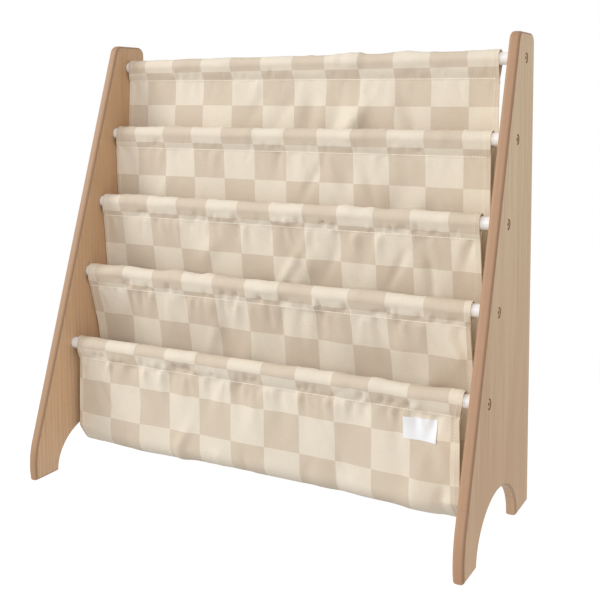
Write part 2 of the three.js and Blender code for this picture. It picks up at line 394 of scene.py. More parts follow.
# Materials


def linear(colour: str) -> tuple[float, float, float, float]:
    """Turns an sRGB hex colour to linear light.

    Args:
        colour: The colour, as "#rrggbb".

    Returns:
        Red, green, blue and an alpha of one.
    """
    shares = [int(colour[i : i + 2], 16) / 255 for i in (1, 3, 5)]
    return *[s / 12.92 if s <= 0.04045 else ((s + 0.055) / 1.055) ** 2.4 for s in shares], 1.0


def feed(tree: bpy.types.NodeTree, node: bpy.types.Node, inputs: dict) -> None:
    """Gives a node's inputs their values and links.

    Args:
        tree: The node tree.
        node: The node to feed.
        inputs: For each input's name or number, a value or the socket that feeds it.
    """
    for key, value in inputs.items():
        if isinstance(value, bpy.types.NodeSocket):
            tree.links.new(value, node.inputs[key])
        else:
            node.inputs[key].default_value = value


def add_node(
    tree: bpy.types.NodeTree, kind: str, inputs: dict | None = None, **settings: object
) -> bpy.types.Node:
    """Adds a node with its settings, values and links.

    Args:
        tree: The node tree.
        kind: The node's type, without the word Shader before it.
        inputs: For each input's name or number, a value or the socket that feeds it.
        settings: The node's own properties.

    Returns:
        The new node.
    """
    node = tree.nodes.new(f"ShaderNode{kind}")
    for name, value in settings.items():
        setattr(node, name, value)
    feed(tree, node, inputs or {})
    return node


@dataclass(frozen=True)
class Finish:
    """A real finish, from which one material is made."""

    title: str

    def material(self) -> bpy.types.Material:
        """Makes the material and lets the finish dress its shader.

        Returns:
            The material.
        """
        material = bpy.data.materials.new(self.title)
        material.use_nodes = True
        tree = material.node_tree
        self.dress(tree, tree.nodes["Principled BSDF"])
        return material

    def dress(self, tree: bpy.types.NodeTree, shader: bpy.types.Node) -> None:
        """Adds the finish's nodes to the shader; each finish has its own."""
        raise NotImplementedError


@dataclass(frozen=True)
class OiledBirch(Finish):
    """Birch board, sanded and sealed with a matt clear oil.

    To the eye it is a pale tan with long soft streaks, a few curved growth lines and fine
    darker pores along the grain, and its tone changes with height; on the left board the
    darker upper tone is painted shade. The rounded edges are browner. The faces inside the
    foot arch are painted paler as painted light, and a painted shade line runs along the
    arrises on each board's right.
    """

    upper: str
    lower: str
    edge: str
    arris_shade_share: float
    streak: str = "#a3866a"
    arris_painted_shade: str = "#7d5f48"
    end_grain: str = "#a98262"
    ior: float = 1.48
    roughness: float = 0.52
    zone_width: float = 30 * MM
    zone_length: float = 300 * MM
    line_width: float = 11 * MM
    line_length: float = 260 * MM
    line_share: float = 0.16
    streak_width: float = 2.6 * MM
    streak_length: float = 120 * MM
    streak_share: float = 0.42
    pore_width: float = 0.9 * MM
    pore_length: float = 12 * MM
    pore_share: float = 0.26
    pore_depth: float = 0.12 * MM
    arch_painted_light: str = "#dbb795"
    arch_top: float = 62 * MM
    arch_front: float = -92 * MM
    arch_back: float = 86 * MM
    arch_softness: float = 6 * MM
    tone_start: float = 430 * MM
    tone_end: float = 60 * MM

    def dress(self, tree: bpy.types.NodeTree, shader: bpy.types.Node) -> None:
        """Draws grain that runs up the board on every face.

        Args:
            tree: The material's nodes.
            shader: The shader to feed.
        """
        place = add_node(tree, "TexCoord")

        def grain(
            kind: str, width: float, length: float, pattern: dict, **settings: object
        ) -> bpy.types.NodeSocket:
            """Draws a pattern out along the grain.

            Args:
                kind: The pattern node's type.
                width: The pattern's size across the grain.
                length: Its size along the grain.
                pattern: The pattern's own inputs.
                settings: The node's own properties.

            Returns:
                The pattern's strength.
            """
            drawn = {"Vector": place.outputs["Object"], "Scale": (1 / width, 1 / width, 1 / length)}
            pattern = pattern | {"Vector": add_node(tree, "Mapping", drawn).outputs[0]}
            return add_node(tree, kind, pattern, **settings).outputs["Fac"]

        def overlaid(
            under: object,
            over: object,
            value: bpy.types.NodeSocket,
            limits: tuple[float, float],
            top: float = 1.0,
        ) -> bpy.types.NodeSocket:
            """Lays one colour over another where a value rises.

            Args:
                under: The colour below.
                over: The colour on top.
                value: What decides between them.
                limits: Where the value starts and ends its rise.
                top: The share of the upper colour past the rise.

            Returns:
                The mixed colour.
            """
            rise = {"Value": value, "From Min": limits[0], "From Max": limits[1], "To Max": top}
            share = add_node(tree, "MapRange", rise).outputs["Result"]
            layers = {0: share, 6: under, 7: over}
            return add_node(tree, "Mix", layers, data_type="RGBA").outputs[2]

        # Broad zones and the height mix the board's two tones on its faces; on the left board the
        # darker upper tone is painted shade, and on the right the tone darkens towards the foot
        spot = add_node(tree, "SeparateXYZ", {"Vector": place.outputs["Object"]})
        height, depth = spot.outputs["Z"], spot.outputs["Y"]
        broad = {"Scale": 1.0, "Detail": 2.0, "Distortion": 0.4}
        zones = grain("TexNoise", self.zone_width, self.zone_length, broad)
        lower = {"Value": height, "From Min": self.tone_start, "From Max": self.tone_end}
        tones = {0: zones, 1: 1.6, 2: add_node(tree, "MapRange", lower).outputs["Result"]}
        shifted = add_node(tree, "Math", tones, operation="MULTIPLY_ADD").outputs[0]
        face = overlaid(linear(self.upper), linear(self.lower), shifted, (0.75, 1.85))

        # The arch is where all three limits are passed; there the edge and end-grain colours give
        # way to a paler painted light
        soft = self.arch_softness
        arch_painted_light_mask: object = 1.0
        for value, start, end in (
            (depth, self.arch_front, self.arch_front + soft),
            (depth, self.arch_back + soft, self.arch_back),
            (height, self.arch_top + soft, self.arch_top),
        ):
            limit = add_node(tree, "MapRange", {"Value": value, "From Min": start, "From Max": end})
            both = {0: arch_painted_light_mask, 1: limit.outputs["Result"]}
            arch_painted_light_mask = add_node(tree, "Math", both, operation="MULTIPLY").outputs[0]
        edge_colours = []
        for colour in (self.edge, self.end_grain):
            layers = {0: arch_painted_light_mask, 6: linear(colour), 7: linear(self.arch_painted_light)}
            edge_colours.append(add_node(tree, "Mix", layers, data_type="RGBA").outputs[2])
        rim, sawn = edge_colours

        # The way that a face points tells the board's faces, edges and sawn ends apart
        normal = add_node(tree, "SeparateXYZ", {"Vector": place.outputs["Normal"]})
        outward = normal.outputs["X"]
        across = add_node(tree, "Math", {0: outward}, operation="ABSOLUTE").outputs[0]
        upright = add_node(tree, "Math", {0: normal.outputs["Z"]}, operation="ABSOLUTE").outputs[0]
        board = overlaid(rim, face, across, (0.86, 0.97))
        board = overlaid(board, sawn, upright, (0.6, 0.9))
        # A painted shade line darkens the arrises that turn towards +X, on each board's right
        rising = {"Value": outward, "From Min": 0.3, "From Max": 0.75, "To Max": self.arris_shade_share}
        falling = {"Value": outward, "From Min": 0.985, "From Max": 0.9}
        arris_shade_limits = {
            0: add_node(tree, "MapRange", rising).outputs["Result"],
            1: add_node(tree, "MapRange", falling).outputs["Result"],
        }
        arris_shade = add_node(tree, "Math", arris_shade_limits, operation="MULTIPLY").outputs[0]
        layers = {0: arris_shade, 6: board, 7: linear(self.arris_painted_shade)}
        board = add_node(tree, "Mix", layers, data_type="RGBA").outputs[2]

        flame = {"Scale": 0.5, "Distortion": 5.0, "Detail": 1.5}
        lines = grain("TexWave", self.line_width, self.line_length, flame, bands_direction="Y")
        soft_streak = {"Scale": 1.0, "Detail": 4.0, "Distortion": 0.3}
        streaks = grain("TexNoise", self.streak_width, self.streak_length, soft_streak)
        fine = {"Scale": 1.0, "Detail": 2.0, "Distortion": 0.0}
        pores = grain("TexNoise", self.pore_width, self.pore_length, fine)
        for pattern, limits, share in (
            (lines, (0.62, 1.0), self.line_share),
            (streaks, (0.5, 0.78), self.streak_share),
            (pores, (0.56, 0.72), self.pore_share),
        ):
            board = overlaid(board, linear(self.streak), pattern, limits, share)

        rough = {"Value": streaks, "To Min": self.roughness - 0.05, "To Max": self.roughness + 0.08}
        relief = add_node(tree, "Math", {0: streaks, 1: pores}, operation="ADD").outputs[0]
        bump = {"Height": relief, "Strength": 0.25, "Distance": self.pore_depth}
        skin = {
            "Base Color": board,
            "IOR": self.ior,
            "Roughness": add_node(tree, "MapRange", rough).outputs["Result"],
            "Normal": add_node(tree, "Bump", bump).outputs["Normal"],
        }
        feed(tree, shader, skin)


@dataclass(frozen=True)
class PowderCoat(Finish):
    """White powder coat baked on a steel tube.

    To the eye it is a clean semi-gloss white with a faint orange-peel skin.
    """

    title: str = "white_powder_coat"
    colour: str = "#f6f7fa"
    ior: float = 1.5
    roughness: float = 0.34
    peel_size: float = 1.6 * MM
    peel_depth: float = 0.1 * MM

    def dress(self, tree: bpy.types.NodeTree, shader: bpy.types.Node) -> None:
        """Gives the white coat its fine uneven skin.

        Args:
            tree: The material's nodes.
            shader: The shader to feed.
        """
        place = add_node(tree, "TexCoord")
        noise = {"Vector": place.outputs["Object"], "Scale": 1 / self.peel_size, "Detail": 2.0}
        peel = add_node(tree, "TexNoise", noise).outputs["Fac"]
        rough = {"Value": peel, "To Min": self.roughness - 0.04, "To Max": self.roughness + 0.04}
        bump = {"Height": peel, "Strength": 0.15, "Distance": self.peel_depth}
        skin = {
            "Base Color": linear(self.colour),
            "IOR": self.ior,
            "Roughness": add_node(tree, "MapRange", rough).outputs["Result"],
            "Normal": add_node(tree, "Bump", bump).outputs["Normal"],
        }
        feed(tree, shader, skin)


@dataclass(frozen=True)
class PlatedSteel(Finish):
    """Turned steel with a thin plated colour.

    To the eye it is a metal with fine uneven marks, a little brighter where the plating is
    worn. Past its depth from the rack's middle the open face ends, and the recesses behind
    it are painted dark as painted shade.
    """

    colour: str
    worn: str
    recess_painted_shade: str
    face_depth: float
    roughness: float = 0.36
    mark_size: float = 0.7 * MM
    mark_depth: float = 0.05 * MM
    recess_shade_blend: float = 0.4 * MM

    def dress(self, tree: bpy.types.NodeTree, shader: bpy.types.Node) -> None:
        """Gives the metal its plated colour, uneven shine and turning marks.

        Args:
            tree: The material's nodes.
            shader: The shader to feed.
        """
        place = add_node(tree, "TexCoord")
        noise = {"Vector": place.outputs["Object"], "Scale": 1 / self.mark_size, "Detail": 3.0}
        marks = add_node(tree, "TexNoise", noise).outputs["Fac"]
        along = add_node(tree, "SeparateXYZ", {"Vector": place.outputs["Object"]}).outputs["X"]
        reach = add_node(tree, "Math", {0: along}, operation="ABSOLUTE").outputs[0]
        # Past the face depth the metal is painted dark, as painted shade in the recesses
        shade: object = linear(self.colour)
        for value, start, end, colour in (
            (marks, 0.5, 0.75, self.worn),
            (reach, self.face_depth, self.face_depth - self.recess_shade_blend, self.recess_painted_shade),
        ):
            share = add_node(tree, "MapRange", {"Value": value, "From Min": start, "From Max": end})
            layers = {0: share.outputs["Result"], 6: shade, 7: linear(colour)}
            shade = add_node(tree, "Mix", layers, data_type="RGBA").outputs[2]
        rough = {"Value": marks, "To Min": self.roughness - 0.08, "To Max": self.roughness + 0.1}
        bump = {"Height": marks, "Strength": 0.2, "Distance": self.mark_depth}
        skin = {
            "Base Color": shade,
            "Metallic": 1.0,
            "Roughness": add_node(tree, "MapRange", rough).outputs["Result"],
            "Normal": add_node(tree, "Bump", bump).outputs["Normal"],
        }
        feed(tree, shader, skin)


@dataclass(frozen=True)
class CheckedCanvas(Finish):
    """Cotton canvas in plain weave, printed with squares in two close beiges.

    To the eye it is matt and soft, a little rosy in patches, with thicker threads that show
    as short faint lines in both directions and a slight bloom at grazing angles. The real
    threads lie about 0.5 mm apart, too fine to show here, so the weave is drawn 1.2 mm apart.
    """

    title: str = "cotton_canvas_beige_check"
    light: str = "#e9decb"
    dark: str = "#d8c9b4"
    blush: str = "#fcf9fa"
    square: float = 50 * MM
    patch_size: float = 45 * MM
    thread: float = 1.2 * MM
    slub_width: float = 0.9 * MM
    slub_length: float = 14 * MM
    weave_depth: float = 0.06 * MM
    roughness: float = 0.88
    gloss: float = 0.3
    bloom: float = 0.08

    def dress(self, tree: bpy.types.NodeTree, shader: bpy.types.Node) -> None:
        """Prints the squares and weaves the threads along the cloth's own map.

        Args:
            tree: The material's nodes.
            shader: The shader to feed.
        """
        cloth = add_node(tree, "UVMap", uv_map="cloth").outputs["UV"]
        lifted = add_node(tree, "Mapping", {"Vector": cloth, "Location": (0, 0, self.square / 2)})
        squares = {
            "Vector": lifted.outputs[0],
            "Scale": 1 / self.square,
            "Color1": linear(self.light),
            "Color2": linear(self.dark),
        }
        shade = add_node(tree, "TexChecker", squares).outputs["Color"]

        def slubs(scale: tuple[float, float, float]) -> bpy.types.NodeSocket:
            """Draws noise out along one set of threads.

            Args:
                scale: The noise's turns for each metre, across, down and through.

            Returns:
                The noise's strength.
            """
            drawn = add_node(tree, "Mapping", {"Vector": cloth, "Scale": scale}).outputs[0]
            noise = {"Vector": drawn, "Scale": 1.0, "Detail": 1.0}
            return add_node(tree, "TexNoise", noise).outputs["Fac"]

        weft = slubs((1 / self.slub_length, 1 / self.slub_width, 1))
        warp = slubs((1 / self.slub_width, 1 / self.slub_length, 1))
        both = add_node(tree, "Math", {0: weft, 1: warp}, operation="ADD").outputs[0]
        clouds = {"Vector": cloth, "Scale": 1 / self.patch_size, "Detail": 1.0}
        patches = add_node(tree, "TexNoise", clouds).outputs["Fac"]
        rosy = {"Value": patches, "From Min": 0.35, "From Max": 0.65, "To Max": 0.5}
        tone = {"Value": both, "From Min": 0.7, "From Max": 1.3, "To Min": 0.965, "To Max": 1.025}
        for tint in (
            {0: add_node(tree, "MapRange", rosy).outputs["Result"], 7: linear(self.blush)},
            {0: 1.0, 7: add_node(tree, "MapRange", tone).outputs["Result"]},
        ):
            tint[6] = shade
            tinted = add_node(tree, "Mix", tint, data_type="RGBA", blend_type="MULTIPLY")
            shade = tinted.outputs[2]
        turns = {"Vector": cloth, "Scale": (math.tau / self.thread,) * 3}
        turned = add_node(tree, "Mapping", turns).outputs[0]
        phase = add_node(tree, "SeparateXYZ", {"Vector": turned})
        across = add_node(tree, "Math", {0: phase.outputs["X"]}, operation="SINE").outputs[0]
        along = add_node(tree, "Math", {0: phase.outputs["Y"]}, operation="SINE").outputs[0]
        weave = add_node(tree, "Math", {0: across, 1: along}, operation="MULTIPLY").outputs[0]
        heights = {0: both, 1: 3.0, 2: weave}
        relief = add_node(tree, "Math", heights, operation="MULTIPLY_ADD").outputs[0]
        bump = {"Height": relief, "Strength": 0.3, "Distance": self.weave_depth}
        skin = {
            "Base Color": shade,
            "Roughness": self.roughness,
            "Specular IOR Level": self.gloss,
            "Sheen Weight": self.bloom,
            "Sheen Roughness": 0.5,
            "Normal": add_node(tree, "Bump", bump).outputs["Normal"],
        }
        feed(tree, shader, skin)


@dataclass(frozen=True)
class SpunThread(Finish):
    """Twisted polyester sewing thread.

    To the eye it is a little lighter and glossier than the cloth, with a fine twist.
    """

    title: str = "polyester_thread_cream"
    colour: str = "#fbf4e4"
    twist: float = 0.8 * MM
    twist_depth: float = 0.05 * MM
    roughness: float = 0.6
    bloom: float = 0.1

    def dress(self, tree: bpy.types.NodeTree, shader: bpy.types.Node) -> None:
        """Gives the thread its colour and twist.

        Args:
            tree: The material's nodes.
            shader: The shader to feed.
        """
        place = add_node(tree, "TexCoord")
        wave = {"Vector": place.outputs["Object"], "Scale": 1 / self.twist, "Distortion": 1.0}
        twist = add_node(tree, "TexWave", wave, bands_direction="DIAGONAL").outputs["Fac"]
        bump = {"Height": twist, "Strength": 0.3, "Distance": self.twist_depth}
        skin = {
            "Base Color": linear(self.colour),
            "Roughness": self.roughness,
            "Sheen Weight": self.bloom,
            "Normal": add_node(tree, "Bump", bump).outputs["Normal"],
        }
        feed(tree, shader, skin)


@dataclass(frozen=True)
class SatinTape(Finish):
    """White woven label tape with a satin face.

    To the eye it is a smooth cool white with faint ribs along its length. The real ribs
    are about 0.3 mm apart and are drawn 0.8 mm apart, so that they show.
    """

    title: str = "white_satin_tape"
    colour: str = "#f0f2f6"
    rib_shade: str = "#f0eeea"
    rib: float = 0.8 * MM
    rib_depth: float = 0.04 * MM
    roughness: float = 0.5
    bloom: float = 0.1

    def dress(self, tree: bpy.types.NodeTree, shader: bpy.types.Node) -> None:
        """Gives the tape its satin ribs.

        Args:
            tree: The material's nodes.
            shader: The shader to feed.
        """
        place = add_node(tree, "TexCoord")
        turns = {"Vector": place.outputs["Object"], "Scale": (math.tau / self.rib,) * 3}
        turned = add_node(tree, "Mapping", turns).outputs[0]
        phase = add_node(tree, "SeparateXYZ", {"Vector": turned})
        ribs = add_node(tree, "Math", {0: phase.outputs["Z"]}, operation="SINE").outputs[0]
        share = add_node(tree, "MapRange", {"Value": ribs, "From Min": -1.0, "To Max": 0.5})
        layers = {0: share.outputs["Result"], 6: linear(self.colour), 7: linear(self.rib_shade)}
        bump = {"Height": ribs, "Strength": 0.2, "Distance": self.rib_depth}
        skin = {
            "Base Color": add_node(tree, "Mix", layers, data_type="RGBA").outputs[2],
            "Roughness": self.roughness,
            "Sheen Weight": self.bloom,
            "Normal": add_node(tree, "Bump", bump).outputs["Normal"],
        }
        feed(tree, shader, skin)


# Side panels


@dataclass
class SidePanel:
    """One leaning side panel, with its foot arch, rounded edges and bolt holes."""

    sizes: RackSizes
    side: Side
    top_corner_radius: float = 12 * MM
    corner_steps: int = 8
    toe_steps: int = 12
    edge_rounding: float = 4.5 * MM
    front_foot_depth: float = 58 * MM
    back_foot_depth: float = 53 * MM
    arch_height: float = 60 * MM
    arch_steps: int = 96
    rounding_steps: int = 6
    countersink_radius: float = 6.3 * MM
    countersink_depth: float = 1.7 * MM
    countersink_softness: float = 0.3 * MM
    hole_radius: float = 3.3 * MM
    socket_radius: float = 8.3 * MM
    hole_steps: int = 48

    def build(self) -> bpy.types.Object:
        """Models the panel.

        Returns:
            The finished panel.
        """
        board = self.board()
        self.trim_toe(board)
        self.round_corners(board)
        cut_away(board, self.arch_cutter())
        self.round_edges(board)
        for tier in range(self.sizes.rod_count):
            cut_away(board, self.hole_cutter(tier))
        smooth(board, 40)
        apply_modifier(board, "WEIGHTED_NORMAL", keep_sharp=True, weight=100)
        return board

    def board(self) -> bpy.types.Object:
        """Models the plain board with its leaning front edge.

        Returns:
            The board.
        """
        s = self.sizes
        deselect_everything()
        bpy.ops.mesh.primitive_cube_add(
            size=1.0,
            location=(
                self.side.value * (s.width - s.panel_thickness) / 2,
                (s.front_edge + s.back_edge) / 2,
                s.height / 2,
            ),
            scale=(s.panel_thickness, s.panel_base_depth, s.height),
        )
        board = fresh_primitive(f"side_panel_{self.side.name.lower()}_board")
        bpy.ops.object.mode_set(mode="EDIT")
        select_where(board, Pick.VERTICES, lambda p: p.y < 0 and p.z > s.height / 2)
        bpy.ops.transform.translate(value=(0, s.panel_base_depth - s.panel_top_depth, 0))
        bpy.ops.object.mode_set(mode="OBJECT")
        return board

    def toe_facet(self, step: int) -> tuple[Vector, Vector]:
        """Finds a flat that lies along the toe's arc.

        Args:
            step: The flat's number, from 0 at the top.

        Returns:
            A point of the flat and the way out of the board there.
        """
        s = self.sizes
        y, z = s.toe_centre
        start = math.pi - s.front_lean
        end = math.pi + math.asin(z / s.toe_radius)
        angle = start + (end - start) * (step + 0.5) / self.toe_steps
        out = Vector((0, math.cos(angle), math.sin(angle)))
        return Vector((0, s.front_edge + y, z)) + s.toe_radius * out, out

    def trim_toe(self, board: bpy.types.Object) -> None:
        """Cuts the toe to its curve, flat by flat from the top down.

        Args:
            board: The plain board.
        """
        take(board)
        bpy.ops.object.mode_set(mode="EDIT")
        for step in range(self.toe_steps):
            place, out = self.toe_facet(step)
            bpy.ops.mesh.select_all(action="SELECT")
            bpy.ops.mesh.bisect(plane_co=place, plane_no=out, use_fill=True, clear_outer=True)
        bpy.ops.object.mode_set(mode="OBJECT")

    def round_corners(self, board: bpy.types.Object) -> None:
        """Rounds the two top corners of the outline.

        Args:
            board: The plain board.
        """
        s = self.sizes
        top_front = s.back_edge - s.panel_top_depth
        for y, angle in ((s.back_edge, math.pi / 2), (top_front, math.pi / 2 + s.front_lean)):
            offset = self.top_corner_radius / math.tan(angle / 2)
            round_where(
                board, offset, self.corner_steps, lambda p: math.hypot(p.y - y, p.z - s.height) < MM
            )

    def arch_cutter(self) -> bpy.types.Object:
        """Models the oval whose upper half cuts the foot arch.

        Returns:
            The oval, in its place.
        """
        s = self.sizes
        front = s.front_edge + self.front_foot_depth
        back = s.back_edge - self.back_foot_depth
        deselect_everything()
        bpy.ops.mesh.primitive_cylinder_add(
            vertices=self.arch_steps,
            radius=1.0,
            depth=3 * s.panel_thickness,
            location=(self.side.value * (s.width - s.panel_thickness) / 2, (front + back) / 2, 0),
            rotation=(0, math.pi / 2, 0),
        )
        cutter = fresh_primitive("arch_cutter")
        bpy.ops.object.mode_set(mode="EDIT")
        bpy.ops.mesh.select_all(action="SELECT")
        bpy.ops.transform.resize(
            value=(1, (back - front) / 2, self.arch_height),
            center_override=(0, (front + back) / 2, 0),
        )
        bpy.ops.object.mode_set(mode="OBJECT")
        return cutter

    def round_edges(self, board: bpy.types.Object) -> None:
        """Rounds the board's edges all along its outline, on both faces.

        Args:
            board: The board with its arch cut.
        """
        outer = self.sizes.width / 2
        for face in (outer, outer - self.sizes.panel_thickness):
            round_where(
                board,
                self.edge_rounding,
                self.rounding_steps,
                lambda p: abs(abs(p.x) - face) < MM / 10,
            )

    def hole_cutter(self, tier: int) -> bpy.types.Object:
        """Models the countersink, clearance hole and rod socket as one turned cutter.

        Args:
            tier: The rod that the hole is for.

        Returns:
            The cutter, in its place.
        """
        s = self.sizes
        y, z = s.rod_axis(tier)
        past = 2 * MM
        outer = s.width / 2
        inner = s.inner_half_width
        cone_end = outer - self.countersink_depth - (self.countersink_radius - self.hole_radius)
        profile = [
            (inner - past, self.socket_radius),
            (inner + s.rod_socket_depth, self.socket_radius),
            (inner + s.rod_socket_depth, self.hole_radius),
            (cone_end, self.hole_radius),
            (outer - self.countersink_depth, self.countersink_radius),
            (outer - self.countersink_softness, self.countersink_radius),
            (outer, self.countersink_radius + self.countersink_softness),
            (outer + past, self.countersink_radius + self.countersink_softness),
        ]
        cutter = turned_about_x("hole_cutter", profile, self.hole_steps, hollow=False)
        twin = copy_to(cutter, "hole_cutter_placed", Vector((0, y, z)), self.side is Side.LEFT)
        bpy.data.objects.remove(cutter, do_unlink=True)
        return twin


# Rods and bolts


@dataclass
class RodSet:
    """Five coated tubes that seat in the panels' sockets."""

    sizes: RackSizes
    wall: float = 1.5 * MM
    end_rounding: float = 0.4 * MM
    insert_collar: float = 1.2 * MM
    steps: int = 48

    def build(self) -> list[bpy.types.Object]:
        """Models one rod and copies it to every tier.

        Returns:
            The rods, from the top down.
        """
        s = self.sizes
        half = s.inner_half_width + s.rod_socket_depth - 2 * s.seat_gap - self.insert_collar
        outside, bore, soft = s.rod_radius, s.rod_radius - self.wall, self.end_rounding
        profile = [
            (-half + soft, outside),
            (half - soft, outside),
            (half - 0.3 * soft, outside - 0.3 * soft),
            (half, outside - soft),
            (half, bore),
            (-half, bore),
            (-half, outside - soft),
            (-half + 0.3 * soft, outside - 0.3 * soft),
            (-half + soft, outside),
        ]
        tube = turned_about_x("rod_tube", profile, self.steps, hollow=True)
        smooth(tube, 50)
        rods = []
        for tier in range(s.rod_count):
            y, z = s.rod_axis(tier)
            rods.append(copy_to(tube, f"rod_{tier + 1}_tube", Vector((0, y, z)), half_turn=False))
        bpy.data.objects.remove(tube, do_unlink=True)
        return rods


@dataclass
class BoltSet:
    """Ten countersunk bolts with a hexagonal key socket, one at each rod end."""

    sizes: RackSizes
    radius: float = 3 * MM
    length: float = 30 * MM
    head_radius: float = 5 * MM
    head_rim: float = 0.8 * MM
    head_sink: float = 0.6 * MM
    tip_chamfer: float = 0.8 * MM
    edge_softness: float = 0.25 * MM
    key_width: float = 4 * MM
    key_depth: float = 3 * MM
    key_mouth: float = 0.3 * MM
    steps: int = 48

    def build(self) -> dict[tuple[Side, int], bpy.types.Object]:
        """Models one bolt and copies it to both ends of every rod.

        Returns:
            The bolts, by side and tier.
        """
        cone_end = -self.head_rim - (self.head_radius - self.radius)
        soft = self.edge_softness
        profile = [
            (-self.length, self.radius - self.tip_chamfer),
            (self.tip_chamfer - self.length, self.radius),
            (cone_end, self.radius),
            (-self.head_rim, self.head_radius),
            (-soft, self.head_radius),
            (-0.3 * soft, self.head_radius - 0.3 * soft),
            (0.0, self.head_radius - soft),
            (0.0, 0.62 * self.head_radius),
        ]
        bolt = turned_about_x("socket_bolt", profile, self.steps, hollow=False)
        cut_away(bolt, self.key_cutter())
        smooth(bolt, 35)
        bolts = {}
        for side in Side:
            for tier in range(self.sizes.rod_count):
                y, z = self.sizes.rod_axis(tier)
                place = Vector((side.value * (self.sizes.width / 2 - self.head_sink), y, z))
                name = f"bolt_{side.name.lower()}_{tier + 1}"
                bolts[side, tier] = copy_to(bolt, name, place, side is Side.LEFT)
        bpy.data.objects.remove(bolt, do_unlink=True)
        return bolts

    def key_cutter(self) -> bpy.types.Object:
        """Models the six-sided key with a chamfered mouth and a drilled point.

        Returns:
            The key, with its mouth at the origin.
        """
        corner = self.key_width / math.sqrt(3)
        profile = [
            (-self.key_depth - 0.5 * corner, 0.05 * corner),
            (-self.key_depth, 0.9 * corner),
            (-self.key_depth, corner),
            (-self.key_mouth, corner),
            (0.0, corner + self.key_mouth),
            (MM, corner + self.key_mouth),
        ]
        return turned_about_x("key_cutter", profile, 6, hollow=False)


# Sling cloth


@dataclass(frozen=True)
class TierShape:
    """How the cloth hangs at one rod, as measured from the photograph."""

    mid_lean_share: float
    low_lean_share: float
    ripple_start_share: float
    seam_drop_left: float
    seam_drop_right: float
    row_above_seam: float
    first_column_x: float
    dark_first: bool
    left: float
    right: float
    hung_left: float
    hung_right: float
    seed: int
    pucker_share: float


TIERS = (
    TierShape(
        mid_lean_share=-0.04, low_lean_share=0.12, ripple_start_share=0.10,
        seam_drop_left=20.0 * MM, seam_drop_right=24.5 * MM,
        row_above_seam=14.4 * MM, first_column_x=-260.3 * MM, dark_first=True,
        left=-292.4 * MM, right=278.1 * MM, hung_left=-295.2 * MM, hung_right=277.1 * MM,
        seed=11, pucker_share=0.35,
    ),
    TierShape(
        mid_lean_share=0.02, low_lean_share=0.23, ripple_start_share=0.45,
        seam_drop_left=20.5 * MM, seam_drop_right=22.0 * MM,
        row_above_seam=10.4 * MM, first_column_x=-254.9 * MM, dark_first=True,
        left=-290.7 * MM, right=279.7 * MM, hung_left=-295.2 * MM, hung_right=277.7 * MM,
        seed=12, pucker_share=0.4,
    ),
    TierShape(
        mid_lean_share=0.10, low_lean_share=0.27, ripple_start_share=0.80,
        seam_drop_left=20.2 * MM, seam_drop_right=20.2 * MM,
        row_above_seam=8.3 * MM, first_column_x=-259.0 * MM, dark_first=False,
        left=-291.5 * MM, right=277.8 * MM, hung_left=-295.2 * MM, hung_right=276.1 * MM,
        seed=13, pucker_share=0.75,
    ),
    TierShape(
        mid_lean_share=0.16, low_lean_share=0.16, ripple_start_share=0.30,
        seam_drop_left=20.8 * MM, seam_drop_right=20.8 * MM,
        row_above_seam=8.3 * MM, first_column_x=-227.7 * MM, dark_first=True,
        left=-293.0 * MM, right=279.1 * MM, hung_left=-295.2 * MM, hung_right=276.2 * MM,
        seed=14, pucker_share=1.0,
    ),
    TierShape(
        mid_lean_share=0.0, low_lean_share=0.0, ripple_start_share=0.62,
        seam_drop_left=20.5 * MM, seam_drop_right=20.0 * MM,
        row_above_seam=19.2 * MM, first_column_x=-233.6 * MM, dark_first=True,
        left=-287.0 * MM, right=281.8 * MM, hung_left=-288.0 * MM, hung_right=276.0 * MM,
        seed=15, pucker_share=1.25,
    ),
)

# How far the lowest fold hangs above its level line, at places along it
LOWEST_FOLD_LINE = (
    (-290 * MM, 5.0 * MM),
    (-265 * MM, 1.4 * MM),
    (-200 * MM, -1.5 * MM),
    (-150 * MM, -1.5 * MM),
    (-90 * MM, 1.0 * MM),
    (-40 * MM, 1.9 * MM),
    (20 * MM, 1.6 * MM),
    (60 * MM, 0.6 * MM),
    (120 * MM, -0.5 * MM),
    (180 * MM, -0.5 * MM),
    (215 * MM, -1.2 * MM),
    (245 * MM, -4.6 * MM),
    (260 * MM, -3.8 * MM),
    (283 * MM, -1.6 * MM),
)


def bell(offset: np.ndarray) -> np.ndarray:
    """Returns a smooth bump that is one at no offset and fades past one."""
    return np.exp(-(offset**2))


def eased(share: np.ndarray) -> np.ndarray:
    """Returns a share that starts and ends gently, held between none and one."""
    held = np.clip(share, 0, 1)
    return held**2 * (3 - 2 * held)


